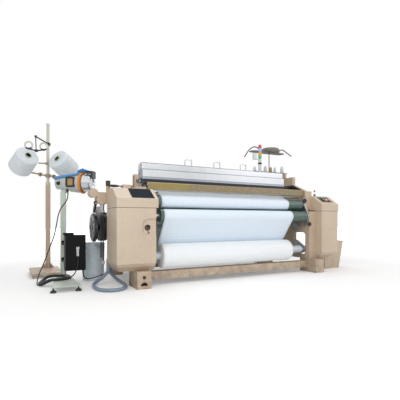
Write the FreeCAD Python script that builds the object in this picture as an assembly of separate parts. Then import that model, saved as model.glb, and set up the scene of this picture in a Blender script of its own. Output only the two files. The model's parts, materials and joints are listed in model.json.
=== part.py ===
# Water-jet power loom with its yarn stand, weft feeder and waste bin, in millimetres.
#
# The machine is modelled from its front line: X runs along the loom from the outer face of the
# left front foot, Y runs from the front of the feet and covers to the warp beam at the back, and
# Z is the height over the floor. When a piece is written out it is shifted so that the origin
# lies in the middle of the left front foot's sole, which is the datum that the loom is set up by.
import FreeCAD, Part
import math
import os

from FreeCAD import Vector

os.makedirs("parts", exist_ok=True)

# ---------------------------------------------------------------- driving sizes
# feet and side frames
FOOT_SPAN = 2490.0          # left to right, between foot centres
FOOT_W = 150.0
FOOT_L = 300.0
FOOT_H = 183.0
FOOT_WALL = 13.0
REAR_FOOT_Y = 1080.0        # front of the rear feet
CLEAR_WIDTH = 2320.0        # between the inner faces of the side frames
FRAME_T = 120.0
FRAME_WEB = 24.0
FRAME_RIM = 22.0
FRAME_FRONT = 110.0         # set back behind the covers
FRAME_NECK = 188.0          # front of the frame above the covers
FRAME_TOP = 1340.0          # top of the right frame's raised block
LEFT_TOP = 1240.0           # top of the left frame's block
BLOCK_FRONT = 440.0         # the raised block beside the harness
BLOCK_BACK = 680.0
LEFT_BLOCK_BACK = 530.0
NECK_SHOULDER = 1118.0      # where the right frame's neck begins to slope up
LEFT_SHOULDER = 1075.0
NECK_T = 50.0               # the frames are thinner over the shoulders

# covers and consoles
COVER_WALL = 3.0
COVER_SEAM = 840.0
COVER_CHAMFER_H = 84.0
COVER_CHAMFER_Y = 80.0
LEFT_COVER_X = -212.0
LEFT_COVER_EDGE = 205.0
LEFT_COVER_DEPTH = 420.0
RIGHT_COVER_W = 305.0
RIGHT_COVER_DEPTH = 200.0
CONSOLE_LIP = 935.0         # height of the console's front edge
CONSOLE_TOP = 1052.0
CONSOLE_RUN = 180.0         # depth of the sloping panel
CONSOLE_OVERHANG = 25.0     # how far the left console is wider than its cover
RIGHT_CONSOLE_OVERHANG = 13.0

# rollers and cloth
RUN_FIT = 0.05              # radial clearance of a shaft in its bearing
GAP = 0.3                   # clearance between pieces that move past each other
CLOTH_T = 1.2
CLOTH_X0 = 330.0
CLOTH_W = 1830.0
ROLLER_X0 = 290.0
ROLLER_X1 = 2412.0
UPPER_R = 67.0
UPPER_Y = 222.0
UPPER_Z = 922.0
LOWER_R = 70.0
LOWER_Y = 143.0
LOWER_Z = 764.0
SURFACE_R = 90.0
ROLLER_WALL = 10.0
SMALL_JOURNAL = 15.0
SURFACE_JOURNAL = 20.0
REST_BAR_R = 12.0
REST_BAR_Y = 330.0
WARP_Z = 1045.0             # height of cloth and warp at the front
FELL_Y = 380.0
ROLL_R = 137.0
ROLL_Y = 210.0
ROLL_Z = 314.0
CORE_R = 50.0
PLATE_T = 30.0              # roller bracket plates

# take-up gears
MODULE = 5.0
SURFACE_TEETH = 40
TAKEUP_TEETH = 24
GEAR_W = 24.0
BACKLASH = 0.25

# breast beam
BEAM_Y = 215.0
BEAM_D = 60.0
BEAM_Z = 1055.0
BEAM_H = 80.0
BEAM_WALL = 5.0
BEAM_END = 26.0             # from the left frame to the cover's left end

# sley, reed and harness
SLEY_Y = 450.0
SLEY_Z = 650.0
SLEY_R = 25.0
SLEY_X0 = 262.0
SLEY_X1 = 2330.0
SLEY_BEAM_Z = 925.0
SLEY_BEAM_H = 50.0
REED_Y = 440.0
REED_T = 6.0
REED_X0 = 290.0
REED_W = 1960.0
REED_H = 150.0
REED_GAPS = 118
REED_TOOTH = 4.0
HARNESS_LEFT = 62.0         # from the left frame to the heald frames
HARNESS_RIGHT = 118.0
HARNESS_Y = 500.0           # middle of the first heald frame
HARNESS_PITCH = 32.0
HARNESS_TOP = 1320.0        # top of a lowered frame
HARNESS_H = 630.0
SHED = 80.0                 # how far the raised frames stand over the lowered ones
HEALD_T = 14.0
TOP_STAVE = 118.0
LOW_STAVE = 70.0
STAY_W = 25.0
HEALDS = 40                 # healds in one frame
HEALD_W = 3.0
HEALD_D = 2.0
HARNESS_BEAM_Y = 625.0
HARNESS_BEAM_Z = 1290.0
HARNESS_POST_X = 220.0      # the post that holds the harness beam's left end
U_PITCH = 431.0
U_WIDTH = 100.0
U_HEIGHT = 160.0

# main drive
MAIN_Y = 640.0
MAIN_Z = 630.0
MAIN_R = 30.0
CRANK_R = 60.0              # throw of the cranks that rock the sley
CRANK_X = 56.0              # reach of the crank pins from the side frames
MAIN_PULLEY_R = 130.0
HANDWHEEL_R = 165.0
MOTOR_Y = 880.0
MOTOR_Z = 800.0
MOTOR_R = 105.0
MOTOR_SHAFT = 14.0
MOTOR_PULLEY_R = 55.0
BELT_X = -222.0
BELT_W = 44.0
BELT_T = 9.0

# warp beam and back rest
BEAM_AXIS_Y = 1420.0
BEAM_AXIS_Z = 560.0
FLANGE_R = 390.0
FLANGE_T = 20.0
BARREL_R = 110.0
BARREL_END = 160.0          # from each side frame to the barrel
YARN_R = 300.0
JOURNAL_R = 35.0
REST_Y = 1300.0
REST_Z = 1025.0
REST_R = 50.0
REST_PIVOT_Z = 900.0
REST_PIN_R = 15.0

# yarn stand
STAND_X = -700.0
STAND_Y = 1790.0
STAND_POST = 60.0
STAND_POST_TOP = 1200.0
MAST_R = 20.0
MAST_TOP = 2040.0
PACKAGE_R = 150.0
PACKAGE_L = 265.0
PACKAGE_BORE = 34.0

# weft feeder
FEEDER_X = -590.0
FEEDER_Y = 1038.0
FEEDER_Z = 1156.0
FEEDER_TURN = -35.0
FEEDER_POST = 60.0
FEEDER_POST_TOP = 1040.0
FEEDER_PLATE_Z = 52.0
FEEDER_PLATE_T = 8.0
FEEDER_FLAT = -72.0         # height of the housing's flat underside, from its axis
RING_R = 127.0
DRUM_R = 104.0

# standing vessels
BUCKET_X = -267.0
BUCKET_Y = 890.0
BUCKET_R = 135.0
BUCKET_H = 440.0
BUCKET_WALL = 3.0
BIN_H = 405.0
BIN_WALL = 3.0

# cords and the outlets that they meet
CABLE_D = 12.0
HOSE_D = 38.0
FEEDER_GLAND = (-541.0, 1004.0, 1066.0)
BOX_PLUG = (-488.0, 590.0, 318.0)
BOX_GLAND = (-424.0, 662.0, 146.0)
FRAME_GLAND = (-8.0, 882.0, 262.0)
DRAIN_FRONT = (-165.0, 500.0, 250.0)
DRAIN_REAR = (-136.0, 645.0, 226.0)

# ---------------------------------------------------------------- worked-out places
MID_X = (FOOT_SPAN + FOOT_W) / 2
IN_L = MID_X - CLEAR_WIDTH / 2
IN_R = MID_X + CLEAR_WIDTH / 2
RIGHT_COVER_X = IN_R + FRAME_T
HARNESS_X0 = IN_L + HARNESS_LEFT
HARNESS_W = IN_R - HARNESS_RIGHT - HARNESS_X0
BARREL_X0 = IN_L + BARREL_END
BARREL_W = IN_R - BARREL_END - BARREL_X0
CLOTH_X1 = CLOTH_X0 + CLOTH_W
COVER_BOTTOM = FOOT_H
SLOPE = math.atan2(CONSOLE_TOP - CONSOLE_LIP, CONSOLE_RUN)
NIP = CLOTH_T + 2 * GAP


def circle_meet(y1, z1, r1, y2, z2, r2):
    """Rear crossing point of two circles: the axis that is r1 from one and r2 from the other."""
    dist = math.hypot(y2 - y1, z2 - z1)
    along = (r1 ** 2 - r2 ** 2 + dist ** 2) / (2 * dist)
    side = math.sqrt(r1 ** 2 - along ** 2)
    uy = (y2 - y1) / dist
    uz = (z2 - z1) / dist
    return y1 + along * uy - side * uz, z1 + along * uz + side * uy


SURFACE_Y, SURFACE_Z = circle_meet(UPPER_Y, UPPER_Z, UPPER_R + SURFACE_R + NIP,
                                   LOWER_Y, LOWER_Z, LOWER_R + SURFACE_R + NIP)
TAKEUP_Y = SURFACE_Y
TAKEUP_Z = SURFACE_Z - MODULE * (SURFACE_TEETH + TAKEUP_TEETH) / 2
REST_BAR_Z = WARP_Z - CLOTH_T / 2 - GAP - REST_BAR_R - CLOTH_T / 2


# ---------------------------------------------------------------- plain helpers
def box(x0, x1, y0, y1, z0, z1):
    """A block between two corners."""
    return Part.makeBox(x1 - x0, y1 - y0, z1 - z0, Vector(x0, y0, z0))


def rod_x(y, z, r, x0, x1):
    """A round bar along X."""
    return Part.makeCylinder(r, x1 - x0, Vector(x0, y, z), Vector(1, 0, 0))


def rod_y(x, z, r, y0, y1):
    """A round bar along Y."""
    return Part.makeCylinder(r, y1 - y0, Vector(x, y0, z), Vector(0, 1, 0))


def rod_z(x, y, r, z0, z1):
    """A round bar along Z."""
    return Part.makeCylinder(r, z1 - z0, Vector(x, y, z0), Vector(0, 0, 1))


def face_of(points):
    """A flat face inside a closed line of points."""
    return Part.Face(Part.makePolygon(points + [points[0]]))


def prism_x(outline, x0, x1):
    """An outline of (y, z) points carried along X."""
    points = [Vector(x0, y, z) for y, z in outline]
    return face_of(points).extrude(Vector(x1 - x0, 0, 0))


def prism_y(outline, y0, y1):
    """An outline of (x, z) points carried along Y."""
    points = [Vector(x, y0, z) for x, z in outline]
    return face_of(points).extrude(Vector(0, y1 - y0, 0))


def prism_z(outline, z0, z1):
    """An outline of (x, y) points carried along Z."""
    points = [Vector(x, y, z0) for x, y in outline]
    return face_of(points).extrude(Vector(0, 0, z1 - z0))


def fuse(shapes):
    """One solid out of touching shapes, with the seams between flush faces taken out."""
    joined = shapes[0].fuse(shapes[1:]) if len(shapes) > 1 else shapes[0]
    return joined.removeSplitter()


def group(shapes):
    """Several separate solids that share one file."""
    solids = []
    for shape in shapes:
        solids.extend(shape.Solids)
    return Part.makeCompound(solids)


def mirrored(shape):
    """The same piece on the other side of the machine's middle."""
    return shape.mirror(Vector(MID_X, 0, 0), Vector(1, 0, 0))


def moved(shape, x, y, z):
    """A shifted copy."""
    copy = shape.copy()
    copy.translate(Vector(x, y, z))
    return copy


def revolve_x(profile, y, z, turn=360.0):
    """A turned piece: (x, radius) points revolved about an X axis at (y, z)."""
    points = [Vector(x, y, z + r) for x, r in profile]
    return face_of(points).revolve(Vector(0, y, z), Vector(1, 0, 0), turn)


def revolve_z(profile, x, y):
    """A turned piece: (radius, z) points revolved about a Z axis at (x, y)."""
    points = [Vector(x + r, y, z) for r, z in profile]
    return face_of(points).revolve(Vector(x, y, 0), Vector(0, 0, 1), 360.0)


def slot_outline(y1, z1, r1, y2, z2, r2, x0, x1):
    """A plate whose edge wraps two circles, as a strap or a belt does."""
    dist = math.hypot(y2 - y1, z2 - z1)
    base = math.atan2(z2 - z1, y2 - y1)
    lean = math.acos((r1 - r2) / dist)
    corners = []
    for angle, cy, cz, r in ((base + lean, y1, z1, r1), (base + lean, y2, z2, r2),
                             (base - lean, y2, z2, r2), (base - lean, y1, z1, r1)):
        corners.append((cy + r * math.cos(angle), cz + r * math.sin(angle)))
    return fuse([prism_x(corners, x0, x1), rod_x(y1, z1, r1, x0, x1), rod_x(y2, z2, r2, x0, x1)])


# ---------------------------------------------------------------- ribbons: cloth, warp and belt
def turned_line(first, second):
    """Where a ribbon leaves one round stop and reaches the next.

    A stop is (y, z, radius, turn): turn is 1 where the ribbon goes round it anticlockwise, with Y
    to the right, and -1 where it goes clockwise.
    """
    y1, z1, r1, s1 = first
    y2, z2, r2, s2 = second
    dist = math.hypot(y2 - y1, z2 - z1)
    angle = math.atan2(z2 - z1, y2 - y1) + math.asin((s1 * r1 - s2 * r2) / dist)
    normal = (-math.sin(angle), math.cos(angle))
    leave = (y1 - s1 * r1 * normal[0], z1 - s1 * r1 * normal[1])
    reach = (y2 - s2 * r2 * normal[0], z2 - s2 * r2 * normal[1])
    return leave, reach, normal


def ribbon(stops, thickness, x0, x1):
    """A flexible strip that runs tight round its stops; the first and last stops are its ends.

    Where two stops nip the strip, no straight is left between their arcs.
    """
    lines = [turned_line(a, b) for a, b in zip(stops, stops[1:])]
    sides = []
    for side in (thickness / 2, -thickness / 2):
        edges = []
        for index, (leave, reach, normal) in enumerate(lines):
            start = Vector(x0, leave[0] + side * normal[0], leave[1] + side * normal[1])
            stop = Vector(x0, reach[0] + side * normal[0], reach[1] + side * normal[1])
            if (stop - start).Length < 0.01:
                stop = start
            else:
                edges.append(Part.LineSegment(start, stop).toShape())
            if index + 1 < len(lines):
                cy, cz, r, turn = stops[index + 1]
                edges.extend(arc_round(x0, cy, cz, r - turn * side, turn, stop,
                                       lines[index + 1], side))
        sides.append(edges)
    left, right = sides
    start_cap = Part.LineSegment(first_point(right), first_point(left)).toShape()
    end_cap = Part.LineSegment(last_point(left), last_point(right)).toShape()
    wire = Part.Wire(Part.__sortEdges__(left + [end_cap] + right + [start_cap]))
    return Part.Face(wire).extrude(Vector(x1 - x0, 0, 0))


def arc_round(x0, cy, cz, r, turn, start, next_line, side):
    """The part of a ribbon's side that bends round one stop, in arcs of under a half circle."""
    leave, _, normal = next_line
    stop = Vector(x0, leave[0] + side * normal[0], leave[1] + side * normal[1])
    a0 = math.atan2(start.z - cz, start.y - cy)
    a1 = math.atan2(stop.z - cz, stop.y - cy)
    sweep = (turn * (a1 - a0)) % (2 * math.pi)
    steps = max(1, math.ceil(sweep / math.radians(150)))
    edges = []
    previous = start
    for step in range(1, steps + 1):
        middle = a0 + turn * sweep * (step - 0.5) / steps
        angle = a0 + turn * sweep * step / steps
        mid = Vector(x0, cy + r * math.cos(middle), cz + r * math.sin(middle))
        point = Vector(x0, cy + r * math.cos(angle), cz + r * math.sin(angle))
        if step == steps:
            point = stop
        edges.append(Part.Arc(previous, mid, point).toShape())
        previous = point
    return edges


def first_point(edges):
    """Start of a chain of edges."""
    return edges[0].Vertexes[0].Point


def last_point(edges):
    """End of a chain of edges."""
    return edges[-1].Vertexes[-1].Point


# ---------------------------------------------------------------- gears
def gear_outline(teeth, module, backlash, phase, y, z, x):
    """The closed edge of an involute spur gear with straight roots, at a full tooth height."""
    pitch_r = module * teeth / 2
    base_r = pitch_r * math.cos(math.radians(20))
    tip_r = pitch_r + module
    root_r = pitch_r - 1.25 * module
    pressure = math.radians(20)
    half = math.pi / (2 * teeth) - backlash / (2 * pitch_r) + math.tan(pressure) - pressure
    flank = []
    start_r = max(base_r, root_r)
    for step in range(5):
        r = start_r + (tip_r - start_r) * step / 4
        roll = math.sqrt(max((r / base_r) ** 2 - 1, 0))
        flank.append((r, half - (roll - math.atan(roll))))
    edges = []
    previous = None
    first = None
    for tooth in range(teeth):
        middle = phase + 2 * math.pi * tooth / teeth
        up = [polar(x, y, z, r, middle - a) for r, a in flank]
        down = [polar(x, y, z, r, middle + a) for r, a in reversed(flank)]
        foot_in = polar(x, y, z, root_r, middle - flank[0][1])
        foot_out = polar(x, y, z, root_r, middle + flank[0][1])
        if previous is not None:
            edges.append(Part.makeLine(previous, foot_in))
        else:
            first = foot_in
        edges.append(Part.makeLine(foot_in, up[0]))
        edges.append(curve_through(up))
        edges.append(Part.makeLine(up[-1], down[0]))
        edges.append(curve_through(down))
        edges.append(Part.makeLine(down[-1], foot_out))
        previous = foot_out
    edges.append(Part.makeLine(previous, first))
    return Part.Wire(edges)


def polar(x, y, z, r, angle):
    """A point at a radius and angle about an X axis."""
    return Vector(x, y + r * math.cos(angle), z + r * math.sin(angle))


def curve_through(points):
    """A smooth edge through points."""
    curve = Part.BSplineCurve()
    curve.interpolate(points)
    return curve.toShape()


def spur_gear(teeth, phase, y, z, x0, width, bore, lightening):
    """A gear wheel with a turned web and holes round it."""
    wheel = Part.Face(gear_outline(teeth, MODULE, BACKLASH, phase, y, z, x0))
    wheel = wheel.extrude(Vector(width, 0, 0))
    pitch_r = MODULE * teeth / 2
    rim = pitch_r - 2.6 * MODULE
    hub = bore + 12
    dish = width * 0.3
    if rim > hub + 10:
        ring = rod_x(y, z, rim, x0 - 1, x0 + dish).cut(rod_x(y, z, hub, x0 - 1, x0 + dish))
        wheel = wheel.cut(ring)
        wheel = wheel.cut(moved(ring, width - dish + 1, 0, 0))
        hole = (rim - hub) * 0.33
        for index in range(lightening):
            centre = polar(x0, y, z, (rim + hub) / 2, 2 * math.pi * index / lightening)
            wheel = wheel.cut(rod_x(centre.y, centre.z, hole, x0 - 1, x0 + width + 1))
    return wheel


# ---------------------------------------------------------------- cords
def rounded_path(points, most=1e6):
    """Straight runs joined by tangent arcs, each as large as its runs and `most` allow."""
    edges = []
    radii = []
    cursor = points[0]
    for before, corner, after in zip(points, points[1:], points[2:]):
        into = (corner - before)
        out = (after - corner)
        run = min(into.Length, out.Length)
        into.normalize()
        out.normalize()
        turn = math.acos(max(-1.0, min(1.0, into.dot(out))))
        back = min(0.45 * run, most)
        radius = back / math.tan(turn / 2)
        radii.append(radius)
        start = corner - into * back
        stop = corner + out * back
        bisector = out - into
        bisector.normalize()
        centre = corner + bisector * math.hypot(radius, back)
        mid = centre - bisector * radius
        edges.append(Part.LineSegment(cursor, start).toShape())
        edges.append(Part.Arc(start, mid, stop).toShape())
        cursor = stop
    edges.append(Part.LineSegment(cursor, points[-1]).toShape())
    return Part.Wire(edges), radii


def cord_tube(name, points, diameter):
    """A round cord along a route of points."""
    route = [Vector(*point) for point in points]
    path, radii = rounded_path(route)
    start = route[0]
    direction = route[1] - route[0]
    profile = Part.Wire(Part.makeCircle(diameter / 2, start, direction))
    tube = path.makePipeShell([profile], True, False)
    expected = math.pi * diameter ** 2 / 4 * path.Length
    print(name, "length", round(path.Length), "least radius", round(min(radii)),
          "volume ratio", round(tube.Volume / expected, 4))
    return tube


def biarc(p0, t0, p1, t1):
    """Two tangent arcs from one point and direction to another."""
    chord = p1 - p0
    both = t0 + t1
    spread = 2 * (1 - t0.dot(t1))
    reach = chord.dot(both)
    if spread < 1e-9:
        d = chord.dot(chord) / (4 * chord.dot(t1))
    else:
        d = (-reach + math.sqrt(reach ** 2 + spread * chord.dot(chord))) / spread
    joint = (p0 + p1 + (t0 - t1) * d) * 0.5
    return [arc_from(p0, t0, joint), arc_from(p1, t1 * -1, joint)]


def arc_from(point, tangent, far):
    """The arc that leaves a point along a tangent and ends at another point."""
    chord = far - point
    away = chord - tangent * chord.dot(tangent)
    away.normalize()
    radius = chord.dot(chord) / (2 * chord.dot(away))
    centre = point + away * radius
    middle = (point - centre) + (far - centre)
    middle.normalize()
    return Part.Arc(point, centre + middle * radius, far).toShape()


# ---------------------------------------------------------------- feet and frames
def foot(x, y, with_holes):
    """A hollow box casting, open at its back; the left front one has a hole and a finger slot."""
    body = box(x, x + FOOT_W, y, y + FOOT_L, 0, FOOT_H)
    inside = box(x + FOOT_WALL, x + FOOT_W - FOOT_WALL, y + FOOT_WALL, y + FOOT_L + 1,
                 FOOT_WALL, FOOT_H - FOOT_WALL)
    body = body.cut(inside)
    if with_holes:
        middle = x + FOOT_W / 2
        body = body.cut(rod_y(middle, FOOT_H * 0.65, FOOT_W * 0.12, y - 1, y + FOOT_WALL + 1))
        slot_r = FOOT_W * 0.25
        slot_z = FOOT_H * 0.18
        slot = rod_y(middle, slot_z, slot_r, y - 1, y + FOOT_WALL + 1)
        slot = slot.cut(box(x, x + FOOT_W, y - 2, y + FOOT_WALL + 2, 0, slot_z))
        body = body.cut(slot)
    return body


def floor_feet():
    """Four feet under the two side frames."""
    feet = []
    for x in (0, FOOT_SPAN):
        for y in (0, REAR_FOOT_Y):
            feet.append(foot(x, y, x == 0 and y == 0))
    return group(feet)


def frame_outline(top):
    """Edge of a side frame, seen from the side, with the given points along its top."""
    back = REAR_FOOT_Y + FOOT_L
    arm_back = BEAM_AXIS_Y + JOURNAL_R + 45
    front = [(FRAME_FRONT, FOOT_H), (FRAME_FRONT, COVER_SEAM - 4), (FRAME_NECK, COVER_SEAM - 4)]
    rear = [(back - 120, 1100), (back, 1000), (back, BEAM_AXIS_Z + 140),
            (arm_back, BEAM_AXIS_Z + 100), (arm_back, BEAM_AXIS_Z - 80),
            (back, BEAM_AXIS_Z - 120), (back, FOOT_H)]
    return front + top + rear


def left_frame_top():
    """The left frame's level neck and its low block."""
    return [(FRAME_NECK, LEFT_SHOULDER), (BLOCK_FRONT, LEFT_SHOULDER), (BLOCK_FRONT, LEFT_TOP),
            (LEFT_BLOCK_BACK, LEFT_TOP), (LEFT_BLOCK_BACK, LEFT_SHOULDER + 45)]


def right_frame_top():
    """The right frame's sloping neck and its high block."""
    return [(FRAME_NECK, NECK_SHOULDER), (BLOCK_FRONT, FRAME_TOP - 112), (BLOCK_FRONT, FRAME_TOP),
            (BLOCK_BACK, FRAME_TOP), (BLOCK_BACK, NECK_SHOULDER + 42)]


def frame_windows():
    """Openings in the web of a side frame: (y0, y1, z0, z1)."""
    return [(190, 400, 240, 540), (700, 858, 240, 520), (960, 1300, 240, 470),
            (760, 1080, 900, 1060), (960, 1240, 560, 820)]


def rounded_window(y0, y1, z0, z1, x0, x1, r):
    """A window with round corners."""
    window = box(x0, x1, y0, y1, z0, z1)
    upright = [edge for edge in window.Edges
               if abs(edge.Length - (x1 - x0)) < 1e-6 and edge.tangentAt(0).cross(
                   Vector(1, 0, 0)).Length < 1e-6]
    return window.makeFillet(r, upright)


def frame_bearings():
    """Shafts that run in a side frame: (y, z, shaft radius, boss radius)."""
    return [(MAIN_Y, MAIN_Z, MAIN_R, MAIN_R + 24), (SLEY_Y, SLEY_Z, SLEY_R, SLEY_R + 20),
            (BEAM_AXIS_Y, BEAM_AXIS_Z, JOURNAL_R, JOURNAL_R + 22),
            (REST_Y, REST_PIVOT_Z, REST_PIN_R, REST_PIN_R + 14)]


def side_frame(top, shoulder, block_back):
    """Cast side frame: a web with a rim round it, windows and bearing bosses."""
    inner = IN_L
    outer = IN_L - FRAME_T
    body = prism_x(frame_outline(top), outer, inner)
    plate = face_of([Vector(outer - 1, y, z) for y, z in frame_outline(top)])
    pocket = plate.makeOffset2D(-FRAME_RIM).extrude(Vector(FRAME_T - FRAME_WEB + 1, 0, 0))
    body = body.cut(pocket)
    body = body.cut(box(outer - 1, inner - NECK_T, FRAME_NECK - 1, block_back, shoulder,
                        FRAME_TOP + 1))
    bosses = []
    bores = []
    for y, z, shaft_r, boss_r in frame_bearings():
        bosses.append(rod_x(y, z, boss_r, outer + 10, inner))
        bores.append(rod_x(y, z, shaft_r + RUN_FIT, outer - 1, inner + 1))
    shelves = [box(outer + 12, inner - FRAME_WEB + 1, FRAME_FRONT + 1, REAR_FOOT_Y + FOOT_L - 1,
                   z - 6, z + 6) for z in (215, 860)]
    ribs = [box(outer + 12, inner - FRAME_WEB + 1, y - 6, y + 6, FOOT_H + 1, 855)
            for y in (480, 905)]
    body = fuse([body] + bosses + shelves + ribs)
    windows = [rounded_window(y0, y1, z0, z1, outer - 1, inner + 1, 40)
               for y0, y1, z0, z1 in frame_windows()]
    return body.cut(windows + bores)


def outlet(place, r, drop):
    """A pipe stub that comes out of the frame's web and turns down to a cord or hose end."""
    x, y, z = place
    level = z + drop
    return fuse([rod_x(y, level, r, x, IN_L - FRAME_WEB + 1), Part.makeSphere(
        r, Vector(x, y, level)), rod_z(x, y, r, z, level)])


def side_frame_left():
    """The left frame with the motor's shaft hole, the drain outlets and the cable gland."""
    body = side_frame(left_frame_top(), LEFT_SHOULDER + 10, LEFT_BLOCK_BACK)
    body = body.cut(rod_x(MOTOR_Y, MOTOR_Z, MOTOR_SHAFT + 4, IN_L - FRAME_T - 1, IN_L + 1))
    outlets = [outlet(DRAIN_FRONT, HOSE_D / 2 - 2, 40), outlet(DRAIN_REAR, HOSE_D / 2 - 2, 60),
               outlet(FRAME_GLAND, CABLE_D / 2 + 4, 30)]
    return fuse([body] + outlets)


def side_frame_right():
    """The right frame: the left one mirrored, with the take-up gear's bearing."""
    body = mirrored(side_frame(right_frame_top(), NECK_SHOULDER, BLOCK_BACK))
    boss = rod_x(TAKEUP_Y, TAKEUP_Z, SMALL_JOURNAL + 16, IN_R, IN_R + FRAME_T - 10)
    bore = rod_x(TAKEUP_Y, TAKEUP_Z, SMALL_JOURNAL + RUN_FIT, IN_R - 1, IN_R + FRAME_T + 1)
    return fuse([body, boss]).cut(bore)


def hollow_beam(x0, x1, y0, y1, z0, z1, wall):
    """A rectangular tube along X."""
    return box(x0, x1, y0, y1, z0, z1).cut(
        box(x0 - 1, x1 + 1, y0 + wall, y1 - wall, z0 + wall, z1 - wall))


def tie_beams():
    """The cross beams that hold the two side frames apart."""
    low_x0 = FOOT_W
    low_x1 = FOOT_SPAN
    front = hollow_beam(low_x0, low_x1, 170, 270, 60, 150, 8)
    rear = hollow_beam(low_x0, low_x1, REAR_FOOT_Y + 70, REAR_FOOT_Y + 170, 60, 150, 8)
    upper = hollow_beam(IN_L, IN_R, 1130, 1210, 960, 1040, 6)
    return group([front, rear, upper])


def breast_beam():
    """The ochre front cover over the cloth: a folded channel on a block at its left end."""
    y1 = BEAM_Y + BEAM_D
    z1 = BEAM_Z + BEAM_H
    outline = [(BEAM_Y, BEAM_Z), (y1, BEAM_Z), (y1, BEAM_Z + BEAM_WALL),
               (BEAM_Y + BEAM_WALL, BEAM_Z + BEAM_WALL), (BEAM_Y + BEAM_WALL, z1 - BEAM_WALL),
               (y1, z1 - BEAM_WALL), (y1, z1), (BEAM_Y + 8, z1), (BEAM_Y, z1 - 8)]
    end = IN_L + BEAM_END
    bracket = box(IN_L, end + 4, BEAM_Y + BEAM_WALL + 3, y1 - 6, BEAM_Z - 25, z1 - 30)
    return fuse([prism_x(outline, end, IN_R), bracket])


# ---------------------------------------------------------------- covers and consoles
def cover_form(x0, x1, y0, y1, z0, z1, left_cut, right_cut):
    """Outer or inner form of a cover: a block whose lower edges are chamfered."""
    body = box(x0, x1, y0, y1, z0, z1)
    rise = z0 + COVER_CHAMFER_H
    body = body.cut(prism_x([(y0 - 1, z0 - 1), (y0 + COVER_CHAMFER_Y, z0 - 1),
                             (y0 + COVER_CHAMFER_Y, z0), (y0, rise), (y0 - 1, rise)],
                            x0 - 1, x1 + 1))
    if left_cut:
        body = body.cut(prism_y([(x0 - 1, z0 - 1), (x0 + left_cut, z0 - 1), (x0 + left_cut, z0),
                                 (x0, rise), (x0 - 1, rise)], y0 - 1, y1 + 1))
    if right_cut:
        body = body.cut(prism_y([(x1 + 1, z0 - 1), (x1 - right_cut, z0 - 1), (x1 - right_cut, z0),
                                 (x1, rise), (x1 + 1, rise)], y0 - 1, y1 + 1))
    return body


def left_cover():
    """Folded sheet cover in front of and beside the left frame, with a hand-wheel recess."""
    t = COVER_WALL
    outer = cover_form(LEFT_COVER_X, LEFT_COVER_EDGE, 0, LEFT_COVER_DEPTH, COVER_BOTTOM,
                       COVER_SEAM, 47, 0)
    inner = cover_form(LEFT_COVER_X + t, LEFT_COVER_EDGE - t, t, LEFT_COVER_DEPTH - t,
                       COVER_BOTTOM + t, COVER_SEAM + 1, 47, 0)
    shell = outer.cut(inner)
    behind = box(IN_L - FRAME_T, LEFT_COVER_EDGE + 1, FRAME_FRONT, LEFT_COVER_DEPTH + 1,
                 COVER_BOTTOM - 1, COVER_SEAM + 1)
    shell = shell.cut(behind)
    flange = box(LEFT_COVER_EDGE - t, LEFT_COVER_EDGE + 1, 60, FRAME_FRONT, 0, COVER_SEAM + 1)
    shell = shell.cut(flange)
    recess_x = 60.0
    recess_z = 560.0
    recess_top = 722.0
    depth = 9.0
    pocket = box(recess_x, LEFT_COVER_EDGE + 1, -1, depth, recess_z, recess_top)
    corner = [edge for edge in pocket.Edges
              if abs(edge.BoundBox.XMin - recess_x) < 1e-6 and abs(edge.BoundBox.XMax - recess_x)
              < 1e-6 and abs(edge.BoundBox.ZMin - recess_top) < 1e-6]
    pocket = pocket.makeFillet(62, corner)
    backing = moved(pocket, 0, t, 0).common(box(recess_x - 5, LEFT_COVER_EDGE, 0, depth + t,
                                                recess_z - 5, recess_top + 5))
    grown = box(recess_x - t, LEFT_COVER_EDGE, t - 0.5, depth + t, recess_z - t, recess_top + t)
    grown = grown.common(box(0, 300, 0, 100, 0, 900))
    shell = fuse([shell, grown, backing]).cut(pocket)
    shell = shell.cut(rod_y(111, 634, 33, -1, depth + t + 1))
    return shell.cut(rod_y(122, 585, 11, -1, depth + t + 1))


def right_cover():
    """Folded sheet cover on the right frame's outer side."""
    t = COVER_WALL
    x1 = RIGHT_COVER_X + RIGHT_COVER_W
    outer = cover_form(RIGHT_COVER_X, x1, 0, RIGHT_COVER_DEPTH, COVER_BOTTOM, COVER_SEAM, 0, 130)
    inner = cover_form(RIGHT_COVER_X + t, x1 - t, t, RIGHT_COVER_DEPTH + 1, COVER_BOTTOM + t,
                       COVER_SEAM + 1, 0, 130)
    seam = box(2767, 2770, -1, 1.2, COVER_BOTTOM + COVER_CHAMFER_H, COVER_SEAM + 1)
    return outer.cut(inner).cut(seam)


def console_outline(y1, inset):
    """Side of a console: front edge, sloping panel and flat top, open underneath."""
    lean = inset / math.cos(SLOPE)
    lip = CONSOLE_LIP - lean + inset * math.tan(SLOPE)
    return [(inset, COVER_SEAM if inset == 0 else COVER_SEAM - 1), (inset, lip),
            (CONSOLE_RUN + inset * math.tan(SLOPE / 2), CONSOLE_TOP - inset),
            (y1 - inset, CONSOLE_TOP - inset),
            (y1 - inset, COVER_SEAM if inset == 0 else COVER_SEAM - 1)]


def left_console():
    """The control console: a folded hood whose rear part stands beside the frame."""
    t = COVER_WALL
    x1 = LEFT_COVER_EDGE + CONSOLE_OVERHANG
    outer = prism_x(console_outline(LEFT_COVER_DEPTH, 0), LEFT_COVER_X, x1)
    inner = prism_x(console_outline(LEFT_COVER_DEPTH, t), LEFT_COVER_X + t, x1 - t)
    hood = outer.cut(inner)
    behind = box(IN_L - FRAME_T, x1 + 1, FRAME_NECK - GAP, LEFT_COVER_DEPTH + 1, COVER_SEAM - 2,
                 CONSOLE_TOP + 1)
    return hood.cut(behind)


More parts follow.
